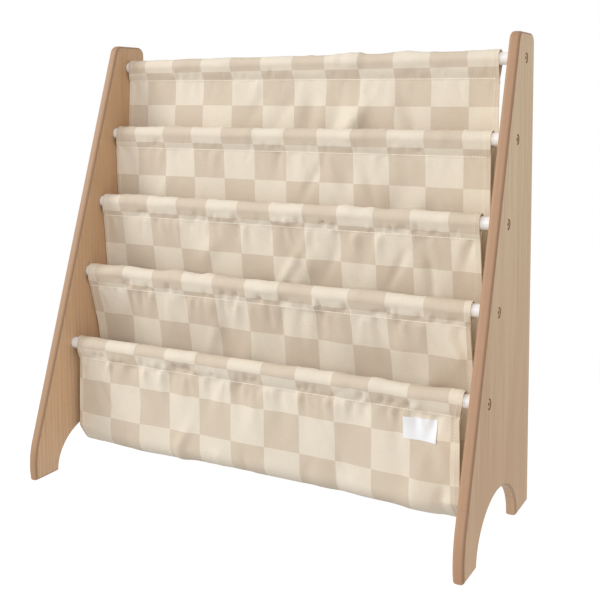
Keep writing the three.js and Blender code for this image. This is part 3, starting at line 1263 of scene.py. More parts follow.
@dataclass
class Sling:
    """The checked cloth: how it hangs, creases and puckers on each tier."""

    sizes: RackSizes
    tiers: Sequence[TierShape] = TIERS
    thickness: float = 0.6 * MM
    hem_width: float = 8 * MM
    hem_seam: float = 6 * MM
    hem_step: float = 0.8 * MM
    hem_columns: int = 5
    hem_seam_column: int = 3
    hem_stiff_reach: float = 40 * MM
    hem_point: float = 0.9
    gather: float = 0.997
    hang_spread: float = 28 * MM
    hang_lead: float = 24 * MM
    sleeve_radius: float = 9.2 * MM
    sleeve_rise: float = 0.6 * MM
    sleeve_bulge: float = 0.9 * MM
    sleeve_end_lift: float = 0.4 * MM
    end_skew: float = 2 * MM
    end_skew_reach: float = 30 * MM
    apex_shift: float = 0.38
    flap_length: float = 7 * MM
    flap_flare: float = 0.8 * MM
    tab_length: float = 5 * MM
    usual_seam_drop: float = 22 * MM
    seam_pitch: float = 1.3 * MM
    layer_step: float = 1.7 * MM
    lowest_fold_start: float = 53 * MM
    ripple_height: float = 2 * MM
    ripple_length: float = 230 * MM
    fold_end_lift: float = 1.5 * MM
    fold_steps: int = 26
    column_step: float = 2.5 * MM
    row_step: float = 3.3 * MM
    puckers: int = 130
    pucker_height: float = 2.1 * MM
    pucker_start: float = 4 * MM
    dents: int = 36
    crease_middle: float = 251 * MM
    crease_drop: float = 124 * MM
    crease_slant: float = -0.27
    crease_width: float = 8 * MM
    crease_length: float = 20 * MM
    crease_height: float = 5.5 * MM

    @property
    def pocket_drop(self) -> float:
        """How far the pocket's fold starts below its front rod."""
        return self.sizes.lowest_rod_height - self.lowest_fold_start

    def hung_width(self, tier: int) -> float:
        """Returns how wide the cloth hangs under a tier's rod."""
        return self.tiers[tier].hung_right - self.tiers[tier].hung_left

    def ends(self, tier: int, below: np.ndarray) -> np.ndarray:
        """Finds the X of the cloth's two ends, from its rod down to where it hangs free.

        Args:
            tier: The tier, from 0 at the top.
            below: How far each row lies below the seam; less than none above it.

        Returns:
            The left and the right end of each row.
        """
        shape = self.tiers[tier]
        sewn = np.array([shape.left, shape.right])
        hung = np.array([shape.hung_left, shape.hung_right])
        return sewn + (hung - sewn) * eased((below + self.hang_lead) / self.hang_spread)[:, None]

    def columns(self, ends: np.ndarray) -> np.ndarray:
        """Finds the X of the cloth's columns, which stand closer at each hem.

        Args:
            ends: The left and the right end of each row.

        Returns:
            A row of columns, from the left, for each row of the grid.
        """
        width = self.hung_width(0)
        edges = (0.0, 0.4 * MM, self.hem_seam / 2, self.hem_seam, self.hem_width - self.hem_step)
        hem = np.array(edges)
        inner = self.hem_width + self.hem_step
        count = round((width - 2 * inner) / self.column_step)
        middle = np.linspace(inner, width - inner, count + 1)
        shares = np.concatenate([hem, middle, (width - hem)[::-1]]) / width
        return ends[:, :1] + (ends[:, 1:] - ends[:, :1]) * shares

    def seam_drop(self, tier: int, x: np.ndarray) -> np.ndarray:
        """Finds how far the seam lies below the rod's axis.

        Args:
            tier: The tier, from 0 at the top.
            x: Places along the rod.

        Returns:
            The drop at each place.
        """
        shape = self.tiers[tier]
        share = (x - shape.left) / (shape.right - shape.left)
        return shape.seam_drop_left + (shape.seam_drop_right - shape.seam_drop_left) * share

    def lean(self, tier: int, drop: np.ndarray, seam: np.ndarray) -> np.ndarray:
        """Finds how far a tier's cloth hangs behind its rod's axis.

        Args:
            tier: The tier, from 0 at the top.
            drop: Distances below the axis.
            seam: The seam's drop at the same places.

        Returns:
            The cloth's Y from the axis.
        """
        rise, pocket = self.sizes.rod_rise, self.pocket_drop
        mid = self.tiers[tier].mid_lean_share * rise
        low = self.tiers[tier].low_lean_share * rise
        upper = rise - seam
        mid_slope = low / (upper + pocket)

        def cubic(
            start: float, end: float, first: np.ndarray, last: np.ndarray, share: np.ndarray
        ) -> np.ndarray:
            """Runs a cubic between two values with a slope at each end.

            Args:
                start: The first value.
                end: The last value.
                first: The slope at the start.
                last: The slope at the end.
                share: How far along the run each place is.

            Returns:
                The value at each place.
            """
            s2, s3 = share**2, share**3
            level = start + (end - start) * (3 * s2 - 2 * s3)
            return level + first * (s3 - 2 * s2 + share) + last * (s3 - s2)

        above = cubic(0, mid, mid, mid_slope * upper, np.clip((drop - seam) / upper, 0, 1))
        below = cubic(mid, low, mid_slope * pocket, 0, np.clip((drop - rise) / pocket, 0, 1))
        return np.where(drop < rise, above, below)

    def wrinkles(self, tier: int, x: np.ndarray, drop: np.ndarray, seam: np.ndarray) -> np.ndarray:
        """Finds how far a tier's ripples, puckers, dents and crease move its cloth back.

        Both layers on a tier share this field, so they never cross. Only the lowest tier has
        the crease.

        Args:
            tier: The tier, from 0 at the top.
            x: Places along the rod.
            drop: Distances below the rod's axis.
            seam: The seam's drop at the same places.

        Returns:
            The movement along +Y.
        """
        shape = self.tiers[tier]
        rise = self.sizes.rod_rise
        below = np.clip(drop - seam, 0, None)
        share = np.clip(below / (rise - seam), 0, 1)
        turns = (x - shape.left) / self.ripple_length + shape.ripple_start_share
        total = self.ripple_height * (3 - 2 * share) * share**2 * np.sin(math.tau * turns)
        rng = np.random.default_rng(shape.seed)
        for _ in range(self.puckers):
            middle = rng.uniform(shape.left, shape.right)
            width = rng.uniform(2.6, 5.5) * MM
            height = rng.normal(0, 1.05) * self.pucker_height * shape.pucker_share
            reach = rng.uniform(10, 42) * MM
            slant = rng.uniform(-0.3, 0.3)
            spread = bell((x - middle - slant * below) / (width + 0.15 * below))
            total = total + (
                height * spread * np.exp(-below / reach) * (1 - np.exp(-below / self.pucker_start))
            )
        for _ in range(self.dents):
            middle = rng.uniform(shape.left, shape.right)
            depth = rng.uniform(0.25, 1.9) * rise
            width = rng.uniform(6, 20) * MM
            length = rng.uniform(18, 50) * MM
            height = rng.normal(0, 3.2) * MM
            slant = rng.uniform(-0.6, 0.6)
            spread = bell((x - middle - slant * (below - depth)) / width)
            spread = spread * bell((below - depth) / length)
            total = total + height * spread * np.clip(share * 2, 0, 1)
        if tier + 1 == self.sizes.rod_count:
            under = drop - self.crease_drop
            spread = bell((x - self.crease_middle - self.crease_slant * under) / self.crease_width)
            total = total + self.crease_height * spread * bell(under / self.crease_length)
        return total

    def hanging_y(self, tier: int, x: np.ndarray, drop: np.ndarray, layer: int) -> np.ndarray:
        """Finds the Y of a sheet that hangs on a tier.

        Args:
            tier: The tier, from 0 at the top.
            x: Places along the rod.
            drop: Distances below the rod's axis.
            layer: -1 for the sheet in front, 0 for a single sheet, 1 for the one behind.

        Returns:
            The sheet's middle.
        """
        seam = self.seam_drop(tier, x)
        spread = np.clip((drop - seam) / (20 * MM), 0, 1)
        seam_layer = (layer - 1) / 2 * self.seam_pitch
        step = seam_layer + (layer * self.layer_step / 2 - seam_layer) * spread
        y, _ = self.sizes.rod_axis(tier)
        return y + self.lean(tier, drop, seam) + self.wrinkles(tier, x, drop, seam) + step

    def own_layer(self, tier: int) -> int:
        """Returns a tier's own layer: single at the top and bottom rods, else in front."""
        return -1 if 0 < tier < self.sizes.rod_count - 1 else 0


@dataclass
class Strip:
    """Rows of points across the cloth."""

    x: np.ndarray
    y: np.ndarray
    z: np.ndarray

    def reversed(self) -> "Strip":
        """Returns the same rows from the other end."""
        return Strip(self.x[::-1], self.y[::-1], self.z[::-1])


@dataclass
class SlingPanel:
    """One cut piece of the sling.

    It runs from a flap behind its rod, over the rod as a sleeve, down as the pocket's back
    sheet, round the fold and up as the front sheet, which is sewn in under the next rod.
    The lowest panel's front sheet ends in a sleeve and a flap of its own.
    """

    sling: Sling
    pocket: int
    rows: dict[str, int] = field(default_factory=dict)
    points: np.ndarray = field(default_factory=lambda: np.zeros((0, 0, 3)))

    @property
    def is_lowest(self) -> bool:
        """Tells whether the front sheet ends in a sleeve over the lowest rod."""
        return self.pocket + 2 == self.sling.sizes.rod_count

    def sleeve(self, tier: int, x: np.ndarray) -> Strip:
        """Shapes a sleeve from the seam behind the rod, over it and down to the seam in front.

        Args:
            tier: The tier of the rod.
            x: The columns.

        Returns:
            The sleeve's rows, the seams included.
        """
        sling = self.sling
        shape = sling.tiers[tier]
        axis_y, axis_z = sling.sizes.rod_axis(tier)
        seam = sling.seam_drop(tier, x)
        pitch = sling.seam_pitch * (1.0 if sling.own_layer(tier) else 0.5)
        radius = sling.sleeve_radius
        seam = seam + sling.sleeve_rise
        axis_z = axis_z + sling.sleeve_rise
        turn = np.arccos(radius / np.hypot(pitch, seam))
        back_angle = np.arctan2(-seam, pitch) + turn
        front_angle = np.arctan2(-seam, -pitch) - turn + math.tau
        leg_steps, wrap_steps = 9, 24
        up = np.linspace(0, 1, leg_steps, endpoint=False)[:, None]
        down = np.linspace(0, 1, leg_steps + 1)[1:, None]
        round_rod = np.linspace(0, 1, wrap_steps + 1)[:, None]
        angles = back_angle + (front_angle - back_angle) * round_rod
        back_y = pitch + (radius * np.cos(back_angle) - pitch) * up
        back_z = -seam + (radius * np.sin(back_angle) + seam) * up
        front_y = radius * np.cos(front_angle) + (-pitch - radius * np.cos(front_angle)) * down
        front_z = radius * np.sin(front_angle) + (-seam - radius * np.sin(front_angle)) * down
        y = np.concatenate([back_y, radius * np.cos(angles), front_y])
        z = np.concatenate([back_z, radius * np.sin(angles), front_z])
        step_y, step_z = np.gradient(y, axis=0), np.gradient(z, axis=0)
        size = np.hypot(step_y, step_z)
        along = np.cumsum(size, axis=0)
        along = (along - along[0]) / (along[-1] - along[0])
        lift = self.sleeve_lift(shape, x, along)
        x_rows = sling.columns(sling.ends(tier, -(z + seam).mean(axis=1)))
        skew = sling.end_skew * y / radius * bell((x - shape.left) / sling.end_skew_reach)
        out_y, out_z = step_z / size * lift, -step_y / size * lift
        return Strip(x_rows - skew, axis_y + y + out_y, axis_z + z + out_z)

    def sleeve_lift(self, shape: TierShape, x: np.ndarray, along: np.ndarray) -> np.ndarray:
        """Finds how far the sleeve stands out from a tight wrap.

        Args:
            shape: The tier's shape.
            x: The columns.
            along: The share of the way round at each point, from the seam behind.

        Returns:
            The lift at each point, outwards from the rod.
        """
        sling = self.sling
        rng = np.random.default_rng(100 + shape.seed)
        legs = bell((along - 0.13) / 0.09) + bell((along - 0.87) / 0.09)
        lift = sling.sleeve_bulge * legs
        for _ in range(sling.puckers):
            middle = rng.uniform(shape.left, shape.right)
            width = rng.uniform(2.6, 4.8) * MM
            height = rng.normal(-0.4, 0.75) * sling.pucker_height * shape.pucker_share
            centre = rng.choice([0.1, 0.9]) + rng.uniform(-0.03, 0.03)
            spread = rng.uniform(0.05, 0.12)
            lift = lift + height * bell((x - middle) / width) * bell((along - centre) / spread)
        for _ in range(sling.puckers // 2):
            middle = rng.uniform(shape.left, shape.right)
            width = rng.uniform(5, 20) * MM
            height = abs(rng.normal(0, 0.8)) * MM
            centre = rng.uniform(0.3, 0.75)
            spread = rng.uniform(0.08, 0.16)
            lift = lift + height * bell((x - middle) / width) * bell((along - centre) / spread)
        end = bell((x - shape.right) / (7 * MM)) * bell((along - 0.47) / 0.16)
        lift = lift + sling.sleeve_end_lift * end
        lift = lift * np.clip(np.minimum(along, 1 - along) / 0.05, 0, 1)
        wrapped = np.abs(along - 0.5) < 0.27
        return np.where(wrapped, np.maximum(lift, 0), lift)

    def flap(self, tier: int, x: np.ndarray) -> Strip:
        """Shapes the flap that hangs behind the seam.

        Args:
            tier: The tier of the rod.
            x: The columns.

        Returns:
            The flap's rows, from its free end up, without the seam's own row.
        """
        sling = self.sling
        _, axis_z = sling.sizes.rod_axis(tier)
        seam = sling.seam_drop(tier, x)
        below = np.linspace(1, 0, 5)[:-1, None] * sling.flap_length
        layer = sling.own_layer(tier)
        front = sling.hanging_y(tier, x, seam + below, layer)
        flare = sling.flap_flare * (below / sling.flap_length) ** 2
        gap = sling.seam_pitch * (2 if layer else 1)
        z = axis_z - seam - below
        return Strip(np.broadcast_to(x, z.shape), front + gap + flare, z)

    def fold_lift(self, x: np.ndarray) -> np.ndarray:
        """Finds how far the fold lies above its level line.

        Args:
            x: The columns.

        Returns:
            The lift at each column.
        """
        if self.is_lowest:
            places, lifts = zip(*LOWEST_FOLD_LINE)
            blur = np.linspace(-16 * MM, 16 * MM, 17)
            return np.mean([np.interp(x + shift, places, lifts) for shift in blur], axis=0)
        shape = self.sling.tiers[self.pocket + 1]
        across = (x - (shape.left + shape.right) / 2) / ((shape.right - shape.left) / 2)
        return self.sling.fold_end_lift * np.abs(across) ** 4

    def fold(self, x: np.ndarray, back: Strip, front_y: np.ndarray) -> Strip:
        """Turns the cloth from the back sheet round to the front sheet.

        The fold is round in the middle and comes to a point where the hem stiffens its ends.
        At the left end the point is moved forward.

        Args:
            x: The columns.
            back: The back sheet.
            front_y: The Y of the front sheet's lowest row.

        Returns:
            The fold's rows, without the first row's and the last row's own points.
        """
        sling = self.sling
        shape = sling.tiers[self.pocket + 1]
        radius = (back.y[-1] - front_y) / 2
        left_end = bell((x - shape.left) / sling.hem_stiff_reach)
        right_end = bell((x - shape.right) / sling.hem_stiff_reach)
        power = 1 + sling.hem_point * (left_end + right_end)
        angles = -math.pi * np.linspace(0, 1, sling.fold_steps + 1)[1:-1, None]
        cosine, sine = np.cos(angles), np.sin(angles)
        y = front_y + radius + radius * np.sign(cosine) * np.abs(cosine) ** power
        y = y - sling.apex_shift * radius * left_end * np.abs(sine) ** power
        z = back.z[-1] - radius.mean() * np.abs(sine) ** power
        return Strip(np.broadcast_to(x, y.shape), y, z)

    def build(self) -> bpy.types.Object:
        """Shapes the panel's grid and gives the cloth its thickness.

        Returns:
            The panel, as a closed sheet.
        """
        sling, pocket, front = self.sling, self.pocket, self.pocket + 1
        sizes = sling.sizes
        _, z_rod = sizes.rod_axis(pocket)
        _, z_next = sizes.rod_axis(front)
        top_x = sling.columns(sling.ends(pocket, np.zeros(1)))[0]
        next_x = sling.columns(sling.ends(front, np.zeros(1)))[0]
        behind = -sling.own_layer(front)
        back_drop = sizes.rod_rise + sling.pocket_drop

        length = back_drop - sling.usual_seam_drop
        share = np.linspace(0, 1, round(length / sling.row_step) + 1)[1:]
        own_ends, next_ends = sling.ends(pocket, share * length), sling.ends(front, share * length)
        x = sling.columns(own_ends + (next_ends - own_ends) * eased(share)[:, None])
        seam = sling.seam_drop(pocket, x)
        drop = seam + (back_drop - seam) * share[:, None]
        y = sling.hanging_y(pocket, x, drop, sling.own_layer(pocket))
        sheet = Strip(x, y, z_rod - drop + self.fold_lift(x) * share[:, None] ** 2)
        low_x = x[-1]

        length = sling.pocket_drop - sling.usual_seam_drop
        share = np.linspace(1, 0, round(length / sling.row_step) + 1)
        x = sling.columns(sling.ends(front, share * length))
        share = share[:, None]
        seam = sling.seam_drop(front, x)
        drop = seam + (sling.pocket_drop - seam) * share
        y = sling.hanging_y(front, x, drop, behind)
        rise = Strip(x, y, z_next - drop + self.fold_lift(x) * share**2)

        parts = {
            "flap": self.flap(pocket, top_x),
            "sleeve": self.sleeve(pocket, top_x),
            "sheet": sheet,
            "fold": self.fold(low_x, sheet, rise.y[0]),
            "rise": rise,
        }
        if self.is_lowest:
            last = self.sleeve(front, next_x)
            parts["last_sleeve"] = Strip(last.x[:-1], last.y[:-1], last.z[:-1]).reversed()
            parts["last_flap"] = self.flap(front, next_x).reversed()
        else:
            tab = np.linspace(0, 1, 4)[1:, None] * sling.tab_length
            parts["tab"] = Strip(rise.x[-1] + 0 * tab, rise.y[-1] + 0 * tab, rise.z[-1] + tab)
        ends = dict(zip(parts, np.cumsum([len(part.y) for part in parts.values()])))
        self.rows = {
            "back_seam": ends["flap"],
            "seam": ends["sleeve"] - 1,
            "fold": ends["sheet"] - 1,
            "front_seam": ends["rise"] - 1,
            "last_back_seam": ends.get("last_sleeve", 0) - 1,
        }
        grid = [np.concatenate([getattr(part, axis) for part in parts.values()]) for axis in "xyz"]
        self.points = np.stack(grid, axis=-1)
        return self.mesh_from_grid()

    def print_map(self) -> list[np.ndarray]:
        """Lays the print out in metres, once for each half of the panel.

        Returns:
            For the half hung from the panel's own rod and for the half sewn to the next,
            the print's place across and down at each point.
        """
        steps = np.linalg.norm(np.diff(self.points[..., 1:], axis=0), axis=-1).mean(axis=1)
        length = np.concatenate([[0.0], np.cumsum(steps)])
        halves = []
        for tier, row, direction in ((self.pocket, "seam", 1), (self.pocket + 1, "front_seam", -1)):
            shape = self.sling.tiers[tier]
            down = shape.row_above_seam + direction * (length - length[self.rows[row]])
            across = (self.points[..., 0] - shape.first_column_x) / self.sling.gather
            across = across + (0.0 if shape.dark_first else CheckedCanvas.square)
            halves.append(np.stack([across, np.broadcast_to(down[:, None], across.shape)], axis=-1))
        return halves

    def mesh_from_grid(self) -> bpy.types.Object:
        """Makes the mesh, its print map and its hems from the grid.

        Returns:
            The panel as a closed sheet.
        """
        sling = self.sling
        rows, columns = self.points.shape[:2]
        quads = grid_quads(rows, columns)
        panel = piece_from_points(f"sling_panel_{self.pocket + 1}", self.points, quads)
        own, other = (half.reshape(-1, 2) for half in self.print_map())
        in_own_half = np.repeat(np.arange(rows - 1) < self.rows["fold"], columns - 1)[:, None, None]
        spots = np.where(in_own_half, own[quads], other[quads])
        layer = panel.data.uv_layers.new(name="cloth")
        layer.data.foreach_set("uv", spots.reshape(-1).astype(np.float32))
        hem = panel.vertex_groups.new(name="hem")
        doubled = np.zeros((rows, columns), dtype=bool)
        doubled[:, : sling.hem_columns] = doubled[:, -sling.hem_columns :] = True
        hem.add(np.flatnonzero(doubled).tolist(), 1.0, "REPLACE")
        apply_modifier(
            panel,
            "SOLIDIFY",
            thickness=2 * sling.thickness,
            offset=0.0,
            vertex_group="hem",
            thickness_vertex_group=0.5,
        )
        smooth(panel, 50)
        return panel

    @property
    def length(self) -> float:
        """Returns the panel's cut length, as the mean of its columns."""
        return float(np.linalg.norm(np.diff(self.points, axis=0), axis=-1).sum(axis=0).mean())


# Sewn details


@dataclass
class Stitching:
    """Rows of sewing thread, made of one stitch that is copied along a seam."""

    length: float = 3.4 * MM
    pitch: float = 3.9 * MM
    radius: float = 0.55 * MM
    flatness: float = 0.75
    middle_swell: float = 1.12
    standing_share: float = 0.35
    sides: int = 6

    def stitch(self) -> bpy.types.Object:
        """Models one stitch: a short bar of thread with round ends, along X.

        Returns:
            The stitch, at the origin.
        """
        deselect_everything()
        bpy.ops.mesh.primitive_uv_sphere_add(segments=self.sides, ring_count=4, radius=self.radius)
        stitch = fresh_primitive("stitch")
        bpy.ops.object.mode_set(mode="EDIT")
        bpy.ops.mesh.select_all(action="SELECT")
        bpy.ops.transform.rotate(value=math.pi / 2, orient_axis="Y", center_override=(0, 0, 0))
        cap = self.length / 2 - self.radius
        for side in (-1, 1):
            select_where(stitch, Pick.VERTICES, lambda p: side * p.x > self.radius / 10)
            bpy.ops.transform.translate(value=(side * cap, 0, 0))
        select_where(stitch, Pick.VERTICES, lambda p: abs(p.x) < self.radius / 10)
        swell = (1, self.middle_swell, self.middle_swell)
        bpy.ops.transform.resize(value=swell, center_override=(0, 0, 0))
        bpy.ops.mesh.select_all(action="SELECT")
        bpy.ops.transform.resize(value=(1, 1, self.flatness), center_override=(0, 0, 0))
        bpy.ops.object.mode_set(mode="OBJECT")
        return stitch

    def sew(self, name: str, rows: Sequence[tuple[np.ndarray, np.ndarray]]) -> bpy.types.Object:
        """Lays copies of the stitch along lines on the cloth.

        Args:
            name: The new object's name.
            rows: For each line, its points on the cloth's face and the way out there.

        Returns:
            The stitches, as one object.
        """
        model = self.stitch()
        corners = np.array([tuple(v.co) for v in model.data.vertices])
        faces = [tuple(face.vertices) for face in model.data.polygons]
        turned = []
        for points, outs in rows:
            steps = np.linalg.norm(np.diff(points, axis=0), axis=1)
            length = np.concatenate([[0.0], np.cumsum(steps)])
            spots = np.arange(self.pitch, length[-1] - self.pitch, self.pitch)
            middle, ahead, out = (
                np.stack([np.interp(places, length, values[:, axis]) for axis in range(3)], axis=1)
                for places, values in (
                    (spots, points), (spots + self.length / 2, points), (spots, outs)
                )
            )
            along = ahead - middle
            along /= np.linalg.norm(along, axis=1, keepdims=True)
            side = np.cross(out, along)
            side /= np.linalg.norm(side, axis=1, keepdims=True)
            up = np.cross(along, side)
            frames = np.stack([along, side, up], axis=1)
            turned.append(np.einsum("vi,sij->svj", corners, frames) + middle[:, None, :])
        vertices = np.concatenate(turned).reshape(-1, 3)
        starts = range(0, len(vertices), len(corners))
        all_faces = [tuple(start + i for i in face) for start in starts for face in faces]
        thread = piece_from_points(name, vertices, all_faces)
        bpy.data.objects.remove(model, do_unlink=True)
        smooth(thread, 60)
        return thread

    def lay_on(
        self, panel: SlingPanel, row: int | None, column: int | None, side: int
    ) -> tuple[np.ndarray, np.ndarray]:
        """Finds a line to sew along, on one face of a panel.

        Args:
            panel: The panel, already built.
            row: The grid row that the line follows, or none.
            column: The grid column that it follows instead, where the cloth is doubled.
            side: 1 for the face that the grid's normals leave from, -1 for the other.

        Returns:
            The line's points and the way out of the cloth at each.
        """
        points = panel.points
        normals = np.cross(np.gradient(points, axis=1), np.gradient(points, axis=0))
        normals /= np.linalg.norm(normals, axis=-1, keepdims=True)
        spot = (row, slice(None)) if column is None else (slice(None), column)
        layers = 1 if column is None else 2
        standing = self.standing_share * self.radius * self.flatness
        lift = layers * panel.sling.thickness / 2 + standing
        return points[spot] + side * normals[spot] * lift, side * normals[spot]

    def seams(self, panel: SlingPanel) -> list[tuple]:
        """Finds a panel's seams under its rods, on the faces that show.

        Args:
            panel: The panel, already built.

        Returns:
            The lines to sew along.
        """
        rows = [("seam", -1), ("back_seam", -1)]
        if panel.is_lowest:
            rows += [("front_seam", 1), ("last_back_seam", 1)]
        return [self.lay_on(panel, panel.rows[name], None, side) for name, side in rows]

    def hems(self, panel: SlingPanel) -> list[tuple]:
        """Finds a panel's side hems, on both faces.

        Args:
            panel: The panel, already built.

        Returns:
            The lines to sew along.
        """
        left = panel.sling.hem_seam_column
        columns = (left, panel.points.shape[1] - 1 - left)
        return [self.lay_on(panel, None, column, side) for column in columns for side in (-1, 1)]


@dataclass
class SewnLabel:
    """A blank tape sewn flat on the lowest front sheet."""

    sling: Sling
    width: float = 42 * MM
    height: float = 26 * MM
    right: float = 248.1 * MM
    drop: float = 42 * MM
    thickness: float = 0.45 * MM
    clearance: float = 0.25 * MM
    end_curl: float = 0.4 * MM
    step: float = 1.5 * MM

    def middle(self) -> np.ndarray:
        """Finds the tape's middle surface, which follows the sheet under it.

        Returns:
            A grid of points.
        """
        tier = self.sling.sizes.rod_count - 1
        _, z_rod = self.sling.sizes.rod_axis(tier)
        columns = round(self.width / self.step) + 1
        rows = round(self.height / self.step) + 1
        x = np.linspace(self.right - self.width, self.right, columns)
        drop = np.linspace(self.drop - self.height / 2, self.drop + self.height / 2, rows)
        x_grid, drop_grid = np.meshgrid(x, drop)
        out = self.sling.thickness / 2 + self.clearance + self.thickness / 2
        y = self.sling.hanging_y(tier, x_grid, drop_grid, self.sling.own_layer(tier)) - out
        curl = ((x_grid - x.mean()) / self.width * 2) ** 6
        return np.stack([x_grid, y - self.end_curl * curl, z_rod - drop_grid], axis=-1)

    def build(self) -> bpy.types.Object:
        """Makes the tape a closed sheet with soft edges.

        Returns:
            The tape.
        """
        points = self.middle()
        # Its rows run down, so each quad is turned round to face the front
        quads = grid_quads(*points.shape[:2])[:, [0, 3, 2, 1]]
        tape = piece_from_points("sewn_label", points, quads)
        apply_modifier(tape, "SOLIDIFY", thickness=self.thickness, offset=0.0)
        smooth(tape, 50)
        return tape

    def seams(self, lift: float) -> list[tuple[np.ndarray, np.ndarray]]:
        """Finds the two lines that hold the tape, along its short ends.

        Args:
            lift: How far the thread's middle stands off the tape's face.

        Returns:
            The lines to sew along.
        """
        points = self.middle()
        out = np.array([0.0, -1.0, 0.0])
        lines = []
        for column in (1, -2):
            line = points[:, column] + out * (self.thickness / 2 + lift)
            lines.append((line, np.broadcast_to(out, line.shape)))
        return lines


# Studio


@dataclass(frozen=True)
class Softbox:
    """A square soft lamp that faces the rack."""

    title: str
    place: tuple[float, float, float]
    size: float
    power: float
    target: tuple[float, float, float] = (0.0, 0.0, 0.28)

    def build(self) -> None:
        """Adds the lamp."""
        lamp = bpy.data.lights.new(self.title, "AREA")
        lamp.shape = "SQUARE"
        lamp.size = self.size
        lamp.energy = self.power
        holder = in_scene(self.title, lamp)
        holder.location = self.place
        facing = Vector(self.target) - Vector(self.place)
        holder.rotation_euler = facing.to_track_quat("-Z", "Y").to_euler()


@dataclass
class Studio:
    """A plain pale floor, a white surround and soft lamps."""

    floor_size: float = 40.0
    ambient: float = 0.55
    floor_glow: float = 0.90
    floor_tone: float = 0.24
    floor_bounce: float = 0.1
    bounce_glow: float = 0.44
    shadow_reach: float = 0.9
    lamps: Sequence[Softbox] = (
        Softbox("front_left_softbox", (-3.9, -2.9, 2.6), 2.0, 108.0),
        Softbox("left_softbox", (-4.6, -2.0, 2.2), 2.2, 34.0),
        Softbox("front_softbox", (0.8, -5.0, 1.8), 2.2, 69.0),
        Softbox("right_softbox", (4.8, -0.6, 1.6), 2.2, 17.0),
    )

    def build(self) -> None:
        """Adds the floor, the surround and the lamps."""
        self.lay_floor()
        self.surround()
        for lamp in self.lamps:
            lamp.build()

    def lay_floor(self) -> None:
        """Lays a floor that looks white to the camera but keeps the rack's shadow."""
        deselect_everything()
        bpy.ops.mesh.primitive_plane_add(size=self.floor_size, location=(0, 0, 0))
        floor = fresh_primitive("studio_floor")
        material = bpy.data.materials.new("pale_studio_floor")
        material.use_nodes = True
        tree = material.node_tree
        shader = tree.nodes["Principled BSDF"]
        unseen = {
            "Base Color": (self.floor_bounce,) * 3 + (1,),
            "Roughness": 1.0,
            "Specular IOR Level": 0.0,
            "Emission Color": WHITE,
            "Emission Strength": self.bounce_glow,
        }
        feed(tree, shader, unseen)
        glow = add_node(tree, "Emission", {"Color": WHITE, "Strength": self.floor_glow})
        tone = add_node(tree, "BsdfDiffuse", {"Color": (self.floor_tone,) * 3 + (1,)})
        near = add_node(tree, "AddShader", {0: tone.outputs[0], 1: glow.outputs[0]})
        far = add_node(tree, "Emission", {"Color": WHITE, "Strength": 1.0})
        place = add_node(tree, "TexCoord").outputs["Object"]
        distance = add_node(tree, "VectorMath", {0: place}, operation="LENGTH").outputs["Value"]
        reach = {
            "Value": distance,
            "From Min": self.shadow_reach / 2,
            "From Max": self.shadow_reach,
        }
        away = add_node(tree, "MapRange", reach, interpolation_type="SMOOTHSTEP").outputs["Result"]
        seen = add_node(tree, "MixShader", {0: away, 1: near.outputs[0], 2: far.outputs[0]})
        choice = {0: direct_sight(tree), 1: shader.outputs[0], 2: seen.outputs[0]}
        mixed = add_node(tree, "MixShader", choice)
        feed(tree, tree.nodes["Material Output"], {"Surface": mixed.outputs[0]})
        floor.data.materials.append(material)

    def surround(self) -> None:
        """Surrounds the rack with white to the eye and a low even light."""
        world = bpy.data.worlds.new("studio_surround")
        bpy.context.scene.world = world
        world.use_nodes = True
        tree = world.node_tree
        even = tree.nodes["Background"]
        feed(tree, even, {"Color": WHITE, "Strength": self.ambient})
        white = add_node(tree, "Background", {"Color": WHITE, "Strength": 1.0})
        choice = {0: direct_sight(tree), 1: even.outputs[0], 2: white.outputs[0]}
        mixed = add_node(tree, "MixShader", choice)
        feed(tree, tree.nodes["World Output"], {"Surface": mixed.outputs[0]})


def direct_sight(tree: bpy.types.NodeTree) -> bpy.types.NodeSocket:
    """Tells the rays that show a background from those that only light the rack.

    Args:
        tree: The floor's or the world's nodes.

    Returns:
        One for camera, glossy and transmission rays, and none for the rest.
    """
    path = add_node(tree, "LightPath")
    sight = path.outputs["Is Camera Ray"]
    for ray in ("Is Glossy Ray", "Is Transmission Ray"):
        either = {0: sight, 1: path.outputs[ray]}
        sight = add_node(tree, "Math", either, operation="MAXIMUM").outputs[0]
    return sight


@dataclass(frozen=True)
class PhotographCamera:
    """The camera that saw the rack, fitted to its corners, rods and bolts in the photograph."""

    place: tuple[float, float, float] = (0.6272, -1.07119, 0.51334)
    turn_degrees: tuple[float, float, float] = (85.55133, 0.18279, 28.49491)
    lens: float = 57.5793
    sensor_width: float = 36.0
    shift_y: float = -0.20468
    nearest: float = 0.01

    def build(self) -> None:
        """Adds the camera and makes it the scene's own."""
        camera = bpy.data.cameras.new("photograph_camera")
        camera.lens = self.lens
        camera.sensor_width = self.sensor_width
        camera.shift_y = self.shift_y
        camera.clip_start = self.nearest
        holder = in_scene("photograph_camera", camera)
        holder.location = self.place
        holder.rotation_euler = [math.radians(angle) for angle in self.turn_degrees]
        bpy.context.scene.camera = holder


def report(piece: bpy.types.Object) -> None:
    """Logs a finished piece's name and size."""
    LOG.info("%s: %d faces", piece.name, len(piece.data.polygons))


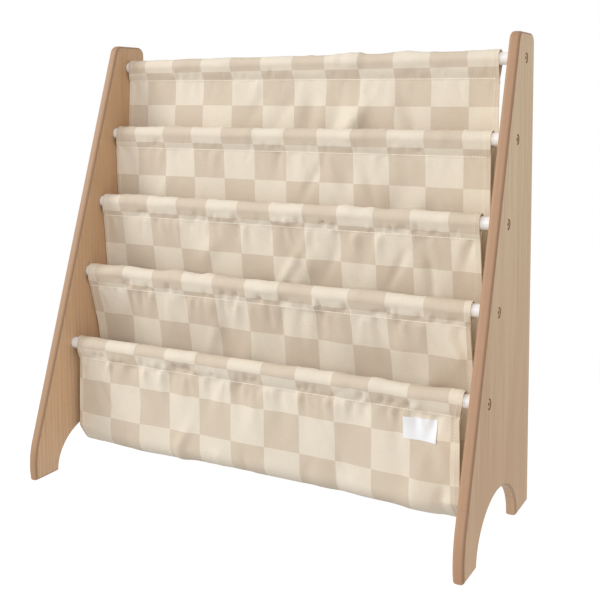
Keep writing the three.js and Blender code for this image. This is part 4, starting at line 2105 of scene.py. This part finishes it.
def main() -> None:
    """Builds the studio and every sub-assembly of the rack, in order."""
    logging.basicConfig(level=logging.INFO, format="%(message)s")
    sizes = RackSizes()
    PhotographCamera().build()
    Studio().build()
    bpy.context.scene.view_settings.view_transform = "Standard"

    # The left board's copy is warmer and darker than the right's, partly as painted shade and warm
    # bounce light on its inner face and partly as a real difference between the boards
    left_birch = OiledBirch(
        "birch_matt_oiled_warm", upper="#d3aa82", lower="#e2bb95", edge="#ad8766", arris_shade_share=0.3
    )
    right_birch = OiledBirch(
        "birch_matt_oiled_pale", upper="#e6caa3", lower="#d5ae86", edge="#b28a6b", arris_shade_share=0.5
    )
    woods = {Side.LEFT: left_birch.material(), Side.RIGHT: right_birch.material()}
    coat = PowderCoat().material()
    bronze = PlatedSteel(
        "bronze_plated_steel", "#b39470", worn="#c4a67f", recess_painted_shade="#2a1d12", face_depth=309.2 * MM
    ).material()
    zinc = PlatedSteel(
        "zinc_plated_steel", "#b4b7bb", worn="#d5d7d9", recess_painted_shade="#8d9094", face_depth=297 * MM
    ).material()
    canvas = CheckedCanvas().material()
    thread = SpunThread().material()

    for side in Side:
        panel = SidePanel(sizes, side).build()
        finish_piece(panel, woods[side], [f"side_panel_{side.name.lower()}"])
        report(panel)

    for tier, rod in enumerate(RodSet(sizes).build()):
        finish_piece(rod, coat, [f"rod_{tier + 1}"])
        report(rod)

    for (side, tier), bolt in BoltSet(sizes).build().items():
        finish_piece(bolt, bronze, [f"socket_bolt_{side.name.lower()}_{tier + 1}"])
        report(bolt)

    for name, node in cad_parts.items():
        if name.startswith("rod_insert_"):
            node.material_slots[0].material = zinc
            report(node)

    sling = Sling(sizes)
    seam_stitching = Stitching()
    hem_stitching = Stitching(length=2.6 * MM, pitch=3.6 * MM, radius=0.28 * MM)
    label_stitching = Stitching(length=1.6 * MM, pitch=2.2 * MM, radius=0.25 * MM)
    parts = ("rod_sleeve", "pocket_back", "pocket_fold", "pocket_front")
    for pocket in range(sizes.rod_count - 1):
        panel = SlingPanel(sling, pocket)
        cloth = panel.build()
        number = pocket + 1
        nodes = [f"{part}_{number}" for part in parts]
        if panel.is_lowest:
            nodes.append(f"rod_sleeve_{number + 1}")
        finish_piece(cloth, canvas, nodes)
        seams = seam_stitching.sew(f"seam_stitching_{number}", seam_stitching.seams(panel))
        hems = hem_stitching.sew(f"hem_stitching_{number}", hem_stitching.hems(panel))
        for stitches in (seams, hems):
            finish_piece(stitches, thread)
            report(stitches)
        report(cloth)

    label = SewnLabel(sling)
    tape = label.build()
    finish_piece(tape, SatinTape().material(), ["blank_label"])
    holding = label_stitching.sew("label_stitching", label.seams(lift=0.1 * MM))
    finish_piece(holding, thread)
    report(holding)
    report(tape)


if __name__ == "__main__":
    main()
